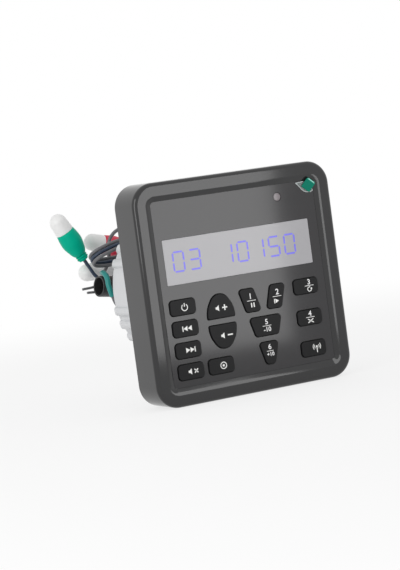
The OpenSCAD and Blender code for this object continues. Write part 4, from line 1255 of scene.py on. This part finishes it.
    def _repeat(self, x: float, z: float) -> list[list[Point]]:
        """Gives a loop with an arrow head."""
        loop = arc((x, z), 1.35, 60, 360, 20) + arc((x, z), 0.95, 360, 60, 20)
        return [loop, [(x + 0.5, z), (x + 1.8, z), (x + 1.15, z + 0.9)][::-1]]

    def _shuffle(self, x: float, z: float) -> list[list[Point]]:
        """Gives two crossing lines.

        Args:
            x: Its middle across the key.
            z: Its middle up the key.

        Returns:
            The outlines of the marks.
        """
        a, b, t = 1.7, 0.95, 0.2
        return [[(x - a, z - b - t), (x - a + 0.3, z - b - t), (x + a, z + b - t), (x + a, z + b + t),
                 (x + a - 0.3, z + b + t), (x - a, z - b + t)],
                [(x - a, z + b - t), (x + a - 0.3, z - b - t), (x + a, z - b - t), (x + a, z - b + t),
                 (x - a + 0.3, z + b + t), (x - a, z + b + t)]]

    def _waves(self) -> list[list[Point]]:
        """Gives a mast with waves at both sides.

        Returns:
            The outlines of the marks.
        """
        marks = [box_points(0, -1.1, 0.5, 2.6), arc((0, 0.7), 0.55, 0, 330, 11)]
        for radius in (1.4, 2.3):
            for middle in (0, 180):
                marks.append(arc((0, 0.7), radius + 0.18, middle - 40, middle + 40, 10)
                             + arc((0, 0.7), radius - 0.18, middle + 40, middle - 40, 10))
        return marks


class LeadEnd(Enum):
    """What a lead ends in."""

    PLUG = "plug"
    CONNECTOR = "connector"


@dataclass
class Lead:
    """A lead along a route, from the grommet to what it ends in."""

    name: str
    route: Route
    length: float
    finish: Finish
    slot: str
    diameter: float = 2.0
    far_end: LeadEnd = LeadEnd.PLUG

    def build(self, ends: Sequence[bpy.types.Object]) -> None:
        """Args:
            ends: The pieces on it; not used.
        """
        lead = smooth_tube(self.name + "_run", self.route, self.diameter / 2)
        dress(lead, self.finish, CHASSIS, [self.name])
        exit_place = tuple(c * MM for c in self.route[0])
        self.diameter * MM


def smooth_tube(name: str, route: Route, radius: float, part: Point = (0.0, 1.0)) -> bpy.types.Object:
    """Makes a round tube along one smooth curve through the points of a route.

    Args:
        name: Name of the piece.
        route: Points in millimetres.
        radius: Radius in millimetres.
        part: First and last share of the curve's points that the tube covers.

    Returns:
        The curve.
    """
    line = bpy.data.curves.new(name, "CURVE")
    line.dimensions = "3D"
    line.resolution_u = TUBE_STEPS
    line.bevel_depth = radius * MM
    line.bevel_resolution = TUBE_ROUNDING
    line.use_fill_caps = True
    line.bevel_factor_mapping_start = "RESOLUTION"
    line.bevel_factor_mapping_end = "RESOLUTION"
    line.bevel_factor_start, line.bevel_factor_end = part
    spline = line.splines.new("BEZIER")
    spline.bezier_points.add(len(route) - 1)
    for knot, place in zip(spline.bezier_points, route):
        knot.co = Vector(place) * MM
        knot.handle_left_type = "AUTO"
        knot.handle_right_type = "AUTO"
    tube = bpy.data.objects.new(name, line)
    bpy.context.scene.collection.objects.link(tube)
    return tube


def approach(tail: Place, way: Place, straight: float = 6.0) -> list[Place]:
    """Gives the last two points of a lead, straight into a tail."""
    return [tuple(Vector(tail) - straight * Vector(way).normalized()), tail]


def eased(stations: Sequence[Point], steps: int) -> list[Point]:
    """Gives stations of one smooth outline through a few.

    Args:
        stations: Height and radius at each.
        steps: Steps between two of them.

    Returns:
        All stations in order.
    """
    made = [stations[0]]
    last = len(stations) - 1
    for i in range(last):
        around = [Vector(stations[min(max(k, 0), last)]) for k in (i - 1, i, i + 1, i + 2)]
        before, start, end, after = around
        knots = (start, start + (end - before) / 6, end - (after - start) / 6, end)
        made += [(p.x, p.y) for p in interpolate_bezier(*knots, steps + 1)[1:]]
    return made


@dataclass
class Plug:
    """A moulded phono plug with a ribbed tail and a push-on cap."""

    colour_name: str
    tail: Place
    way: Place
    finish: Finish

    length: float = 18.8
    front: float = 5.3
    front_edge: float = 0.3
    tail_r: float = 2.7
    rib: float = 0.6
    rib_w: float = 0.9
    rib_flank: float = 0.15
    rib_starts: Sequence[float] = (0.8, 2.2)
    cap_gap: float = 0.05
    cap_edge: float = 0.25
    cap_step: float = 0.08
    cap_l: float = 11.2
    cap_r: float = 4.85
    cap_steps: int = 10
    sides: int = 40
    swell_steps: int = 3
    smooth_angle: float = 40.0
    swell: Sequence[Point] = (
        (3.55, 3.1), (3.8, 3.5), (4.6, 4.0), (5.6, 4.45), (7.9, 5.15),
        (10.2, 5.78), (12.4, 6.0), (14.4, 5.9), (16.5, 5.65), (18.5, 5.3),
    )
    pieces: list[bpy.types.Object] = field(default_factory=list)

    def build(self, model: Optional["Plug"] = None) -> list[bpy.types.Object]:
        """Models the plug and its cap, or copies those of another plug.

        Args:
            model: A plug that is modelled already.

        Returns:
            The two pieces.
        """
        place = aimed(self.tail, self.way)
        plug, cap = "plug_" + self.colour_name, "cap_" + self.colour_name
        names = plug + "_body", cap + "_dome"
        if model:
            move = place @ aimed(model.tail, model.way).inverted()
            self.pieces = [copied(piece, name, move) for piece, name in zip(model.pieces, names)]
        else:
            self.pieces = [Shaper(name).lathe(outline, self.sides).placed(place, self.smooth_angle)
                           for name, outline in zip(names, (self._body(), self._cap()))]
        dress(self.pieces[0], self.finish, CHASSIS, [plug])
        dress(self.pieces[1], CAP_MILKY, CHASSIS, [cap])
        return self.pieces

    def _body(self) -> list[Point]:
        """Gives the plug's outline from its ribbed tail to its front.

        Returns:
            Height and radius at each station.
        """
        outline = [(0.0, self.tail_r)]
        ribbed = self.tail_r + self.rib
        for start in self.rib_starts:
            end = start + self.rib_w
            outline += [(start, self.tail_r), (start + self.rib_flank, ribbed),
                        (end - self.rib_flank, ribbed), (end, self.tail_r)]
        return outline + eased(self.swell, self.swell_steps) + [(self.length, self.front - self.front_edge)]

    def _cap(self) -> list[Point]:
        """Gives the cap's outline from the plug to its domed end.

        Returns:
            Height and radius at each station.
        """
        base, dome = self.length + self.cap_gap, self.length + self.cap_l - self.cap_r
        outline = [(base, self.front - self.cap_edge),
                   (base + self.cap_edge, self.front - self.cap_step), (dome, self.cap_r)]
        for i in range(1, self.cap_steps + 1):
            angle = math.pi / 2 * i / (self.cap_steps + 0.5)
            outline.append((dome + self.cap_r * math.sin(angle), self.cap_r * math.cos(angle)))
        return outline


@dataclass
class AntennaSocket:
    """The open socket on the antenna lead."""

    mouth: Place = (-47.9, 57.0, 5.2)
    way: Place = (-0.98, -0.13, 0.15)
    length: float = 26.0
    radius: float = 5.75
    bore: float = 4.75
    bore_l: float = 12.0
    recess: float = 2.3
    recess_l: float = 4.9
    sides: int = 44
    tail_form: Sequence[Point] = (
        (0.0, 2.4), (1.4, 2.9), (1.6, 3.0), (2.2, 2.6), (3.0, 3.3),
        (3.3, 3.3), (4.0, 3.0), (5.0, 3.5), (6.6, 4.8), (7.6, 5.5),
    )
    tail_l: float = 8.4
    mouth_edge: Sequence[Point] = ((0.5, 0.0), (0.15, 0.12), (0.0, 0.4))
    bore_edge: Sequence[Point] = ((0.0, 0.25), (0.2, 0.0))
    recess_end: float = 0.4
    smooth_angle: float = 40.0

    @property
    def tail(self) -> Place:
        """Where the lead goes in."""
        return tuple(Vector(self.mouth) - self.length * Vector(self.way).normalized())

    def build(self) -> bpy.types.Object:
        """Models the socket with its bore.

        Returns:
            The socket.
        """
        top, floor = self.length, self.length - self.bore_l
        mouth = [*((top - below, self.radius - inward) for below, inward in self.mouth_edge),
                 *((top - below, self.bore + outward) for below, outward in self.bore_edge)]
        inside = [(floor, self.bore), (floor, self.recess), (floor - self.recess_l, self.recess),
                  (floor - self.recess_l, self.recess_end)]
        outline = [*self.tail_form, (self.tail_l, self.radius), *mouth, *inside]
        shape = Shaper("antenna_socket_body").lathe(outline, self.sides)
        return shape.done(SOCKET_BLACK, replaces=["antenna_socket"], slot="socket_black",
                          place=aimed(self.tail, self.way), angle=self.smooth_angle)


@dataclass
class Wiring:
    """The folded plug leads, the antenna lead, and what is on them."""

    fold_step: Place = (0.0, 1.8, 1.8)
    fold_run: Route = (
        (-29, 50, 25), (-36, 50, 24.6), (-44.5, 50, 22.4), (-48.2, 51.2, 20.8), (-49.8, 54, 18.8),
        (-48.4, 56.8, 16.9), (-44.5, 58, 16), (-36, 58, 15.8), (-28, 58, 15.8), (-20, 58, 16),
    )
    antenna_start: Route = (
        (-7.5, 46, 15.5), (-7.5, 51, 15.8), (-8.2, 56.4, 18.4), (-10.6, 60.6, 23), (-14.8, 63.4, 29),
        (-20, 64.6, 33.4), (-24.5, 65, 34.6), (-28.6, 65, 33.8), (-32.3, 65, 31.4), (-34.2, 65.2, 28.6),
        (-34.9, 65.6, 24.8), (-35.2, 66.2, 20.4), (-36.4, 66.6, 16.4), (-39, 65, 13.2), (-42.4, 61, 12.3),
    )
    sleeve_run: Route = (
        (-45, 56, 12.3), (-45.9, 51.6, 12), (-46, 48.5, 9.6), (-46.2, 47.2, 5.4), (-44.9, 47, -0.6),
    )
    antenna_end: Route = (
        (-42.8, 47.8, -5.4), (-38.4, 49.8, -9.4), (-31.5, 52.4, -11.8), (-23, 54.6, -12.8),
        (-14.5, 56.8, -12), (-7.5, 59.4, -9.4), (-4, 61.4, -4.8), (-6.4, 62.4, -0.4), (-11.4, 62, 0.2),
    )
    sleeve_r: float = 1.5
    lead_r: float = 1.0
    tie_r: float = 0.7
    tie_middle: Place = (-31, 59.8, 17.6)
    tie_points: int = 12
    tie_turn: float = 30.0
    tie_start: float = -75.0
    tie_start_x: float = -1.1
    tie_step_x: float = 0.2
    tie_tail: Route = ((-54, 65.2, 4.4), (-46, 66, 4.8), (-39.5, 67.4, 6))
    tie_end: Route = ((-31.6, 64.4, 10.2), (-36, 66.4, 3.6), (-45, 64.8, 2), (-52, 64, 2.2))

    def build(self) -> None:
        """Makes the plugs, the socket and the leads."""
        green = Plug("green", (-46.2, 76, 20.1), (-0.48, 0, 0.876), PLUG_GREEN)
        red = Plug("red", (-9.7, 90, 20.4), (-0.95, 0, 0.31), PLUG_RED)
        white = Plug("white", (-16.8, 84, 13.1), (-1, 0, -0.04), PLUG_WHITE)
        Lead("lead_white", [
            (-16, 46, 11), (-16.3, 49.4, 12), (-18.6, 50.6, 16.4), (-22.8, 50.4, 21.4), *self._strand(0),
            (-13, 59.4, 15.4), (-7.4, 62.6, 14.4), (-5, 68, 13.6), (-5.2, 75, 13.2), (-6.8, 80.8, 13.1),
            *approach(white.tail, white.way),
        ], 123.7, LEAD_GREY, "lead_grey").build([*white.build(), self._tie()])
        Lead("lead_green", [
            (-12, 46, 11), (-12.3, 50.4, 11.8), (-14.8, 53, 15.6), (-19.4, 53, 21), (-24, 52.4, 24.8),
            *self._strand(1),
            (-14, 61.2, 17.2), (-10.2, 64.2, 15.2), (-9.4, 68.4, 11.6), (-12, 72.2, 7.6), (-18.5, 74.6, 5.4),
            (-27, 75.2, 4.8), (-35, 75.2, 6), (-40.4, 75.6, 9.8),
            *approach(green.tail, green.way),
        ], 151.3, LEAD_NAVY, "lead_navy").build(green.build(white))
        Lead("lead_red", [
            (-8, 46, 11), (-8.3, 51, 11.8), (-11, 54.8, 15), (-16, 55.8, 20.4), (-21.8, 55, 26),
            *self._strand(2),
            (-13, 62.8, 20.4), (-6.5, 66.2, 21), (-1.6, 71.6, 21), (0.8, 78, 20.4), (1, 84, 19.4),
            (-1, 88.4, 18.7),
            *approach(red.tail, red.way),
        ], 140.5, LEAD_GREY, "lead_grey").build(red.build(white))
        self._antenna()

    def _antenna(self) -> None:
        """Makes the antenna lead with its sleeve and socket."""
        socket = AntennaSocket()
        route = [*self.antenna_start, *self.sleeve_run, *self.antenna_end, *approach(socket.tail, socket.way)]
        first = len(self.antenna_start) / (len(route) - 1)
        last = first + (len(self.sleeve_run) - 1) / (len(route) - 1)
        sleeve = smooth_tube("teal_sleeve", route, self.sleeve_r, (first, last))
        dress(sleeve, SLEEVE_TEAL, CHASSIS, ["lead_sleeve"])
        lead = Lead("lead_antenna", route, 170.2, LEAD_GREY, "lead_grey", far_end=LeadEnd.CONNECTOR)
        lead.build([socket.build(), sleeve])

    def _strand(self, number: int) -> list[Place]:
        """Gives one strand of the fold, a step further out for each number."""
        return [tuple(Vector(place) + number * Vector(self.fold_step)) for place in self.fold_run]

    def _tie(self) -> bpy.types.Object:
        """Makes the wire tie round the folded leads.

        Returns:
            The tie.
        """
        ring = Vector(self.fold_step).length + self.lead_r + self.tie_r
        turns = []
        for i in range(self.tie_points):
            angle = math.radians(self.tie_turn * i + self.tie_start)
            x = self.tie_step_x * i + self.tie_start_x
            out = Vector((x, ring * math.cos(angle), ring * math.sin(angle)))
            turns.append(tuple(Vector(self.tie_middle) + out))
        tie = smooth_tube("wire_tie", [*self.tie_tail, *turns, *self.tie_end], self.tie_r)
        return dress(tie, TIE_GREY, CHASSIS, ["twist_tie"])


@dataclass
class CarriedNodes:
    """The CAD nodes that are shown as they are, with a finish on each."""

    finishes: dict[str, Finish] = field(default_factory=lambda: SLOT_FINISHES)

    def build(self) -> None:
        """Dresses every node by its material slot."""
        slots = {part["node"]: part["material_slot"] for part in frame["record"]["subparts"]}
        for name, node in frame["nodes"].items():
            if node.hide_render:
                continue
            finish = self.finishes[slots[name]]
            node.data.materials.clear()
            node.data.materials.append(finish.material())
            LOG.info("%s: %s", name, finish.name)


@dataclass(frozen=True)
class Softbox:
    """A soft lamp: its place and what it faces, in metres, and how bright its face is, 1 being white."""

    name: str
    place: Place
    target: Place
    width: float
    height: float
    level: float
    off_floor: bool = False

    def build(self, floor: bpy.types.Object) -> None:
        """Adds the lamp, seen in reflections but not by the camera.

        Args:
            floor: The floor, which a flag keeps the lamp's light off where off_floor says so.
        """
        lamp = bpy.data.lights.new(self.name, "AREA")
        lamp.shape = "RECTANGLE"
        lamp.size, lamp.size_y = self.width, self.height
        lamp.energy = self.level * math.pi * self.width * self.height
        box = bpy.data.objects.new(self.name, lamp)
        way = Vector(self.target) - Vector(self.place)
        turn = way.to_track_quat("-Z", "Y").to_matrix().to_4x4()
        box.matrix_world = Matrix.Translation(self.place) @ turn
        box.visible_camera = False
        bpy.context.scene.collection.objects.link(box)
        if self.off_floor:
            flagged = bpy.data.collections.new(self.name + "_flag")
            flagged.objects.link(floor)
            flagged.collection_objects[0].light_linking.link_state = "EXCLUDE"
            box.light_linking.receiver_collection = flagged


@dataclass
class Studio:
    """Camera, floor and soft light."""

    eye: Place = (-468.66, -902.54, 67.61)
    right: Place = (0.8816, -0.4529, -0.1327)
    up: Place = (0.1481, -0.0014, 0.9890)
    focal_px: float = 1920.0
    image_h: float = 570.0
    sensor: float = 36.0
    nearest: float = 0.01
    farthest: float = 100.0

    floor_z: float = -58.0
    floor_gap: float = 0.2
    floor_size: float = 30.0
    shadow: float = 0.25
    shadow_near: float = 0.25
    shadow_far: float = 0.7

    fill: float = 0.68
    lamps: Sequence[Softbox] = (
        Softbox("left_softbox", (-0.6, -0.34, 0.2), (0.0, 0.0, 0.0), 0.3, 0.46, 3.0),
        Softbox("front_softbox", (0.086, -0.254, 0.046), (-0.02, 0.0, 0.046), 0.12, 0.21, 2.7, True),
    )

    def build(self) -> None:
        """Sets up camera, floor, surroundings and lamps."""
        self._camera()
        floor = self._floor()
        self._world()
        for lamp in self.lamps:
            lamp.build(floor)

    def _camera(self) -> None:
        """Places the camera where the photo was taken."""
        data = bpy.data.cameras.new("photo_camera")
        data.sensor_width = self.sensor
        data.lens = self.focal_px * self.sensor / self.image_h
        data.clip_start, data.clip_end = self.nearest, self.farthest
        camera = bpy.data.objects.new("photo_camera", data)
        right, up = Vector(self.right).normalized(), Vector(self.up)
        back = right.cross(up).normalized()
        up = back.cross(right)
        turn = Matrix((right, up, back)).transposed().to_4x4()
        camera.matrix_world = Matrix.Translation(Vector(self.eye) * MM) @ turn
        bpy.context.scene.collection.objects.link(camera)
        bpy.context.scene.camera = camera

    def _floor(self) -> bpy.types.Object:
        """Lays a pale floor under the bezel, white to the eye away from the object's shadow.

        Returns:
            The floor.
        """
        bpy.ops.object.select_all(action="DESELECT")
        level = (self.floor_z - self.floor_gap) * MM
        bpy.ops.mesh.primitive_plane_add(size=self.floor_size, location=(0, 0, level))
        bpy.ops.object.transform_apply(location=True, rotation=True, scale=True)
        floor = bpy.context.object
        floor.name = "studio_floor"
        pale = FLOOR_PALE.material()
        floor.data.materials.append(pale)
        shader = Shader(pale)
        away = shader.add("ShaderNodeVectorMath", {"operation": "LENGTH"},
                          {0: shader.add("ShaderNodeTexCoord", output="Object")}, "Value")
        shaded = self.shadow * (1 - shader.rise(away, self.shadow_near, self.shadow_far))
        share = shader.shown() * (1 - shaded)
        white = shader.add("ShaderNodeEmission", None, {"Color": (1.0, 1.0, 1.0), "Strength": 1.0})
        shown = shader.add("ShaderNodeMixShader", None,
                           {0: share, 1: Wire(shader, shader.surface.outputs[0]), 2: white})
        shader.tree.links.new(shown.socket, shader.tree.nodes["Material Output"].inputs["Surface"])
        return floor

    def _world(self) -> None:
        """Makes the surroundings white to the eye and in mirrors, and a soft fill for the rest."""
        world = bpy.data.worlds.new("studio")
        bpy.context.scene.world = world
        shader = Shader(world)
        shader.set(Color=(1.0, 1.0, 1.0), Strength=shader.shown().larger(self.fill))


def main() -> None:
    """Builds every class in order."""
    logging.basicConfig(level=logging.INFO, format="%(name)s %(message)s")
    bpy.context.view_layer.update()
    bpy.context.scene.view_settings.view_transform = "Standard"
    for part in (Studio(), Wiring(), Bezel(), Display(), KeyField(), PullTab(), CarriedNodes()):
        part.build()
        LOG.info("%s built", type(part).__name__)


if __name__ == "__main__":
    main()
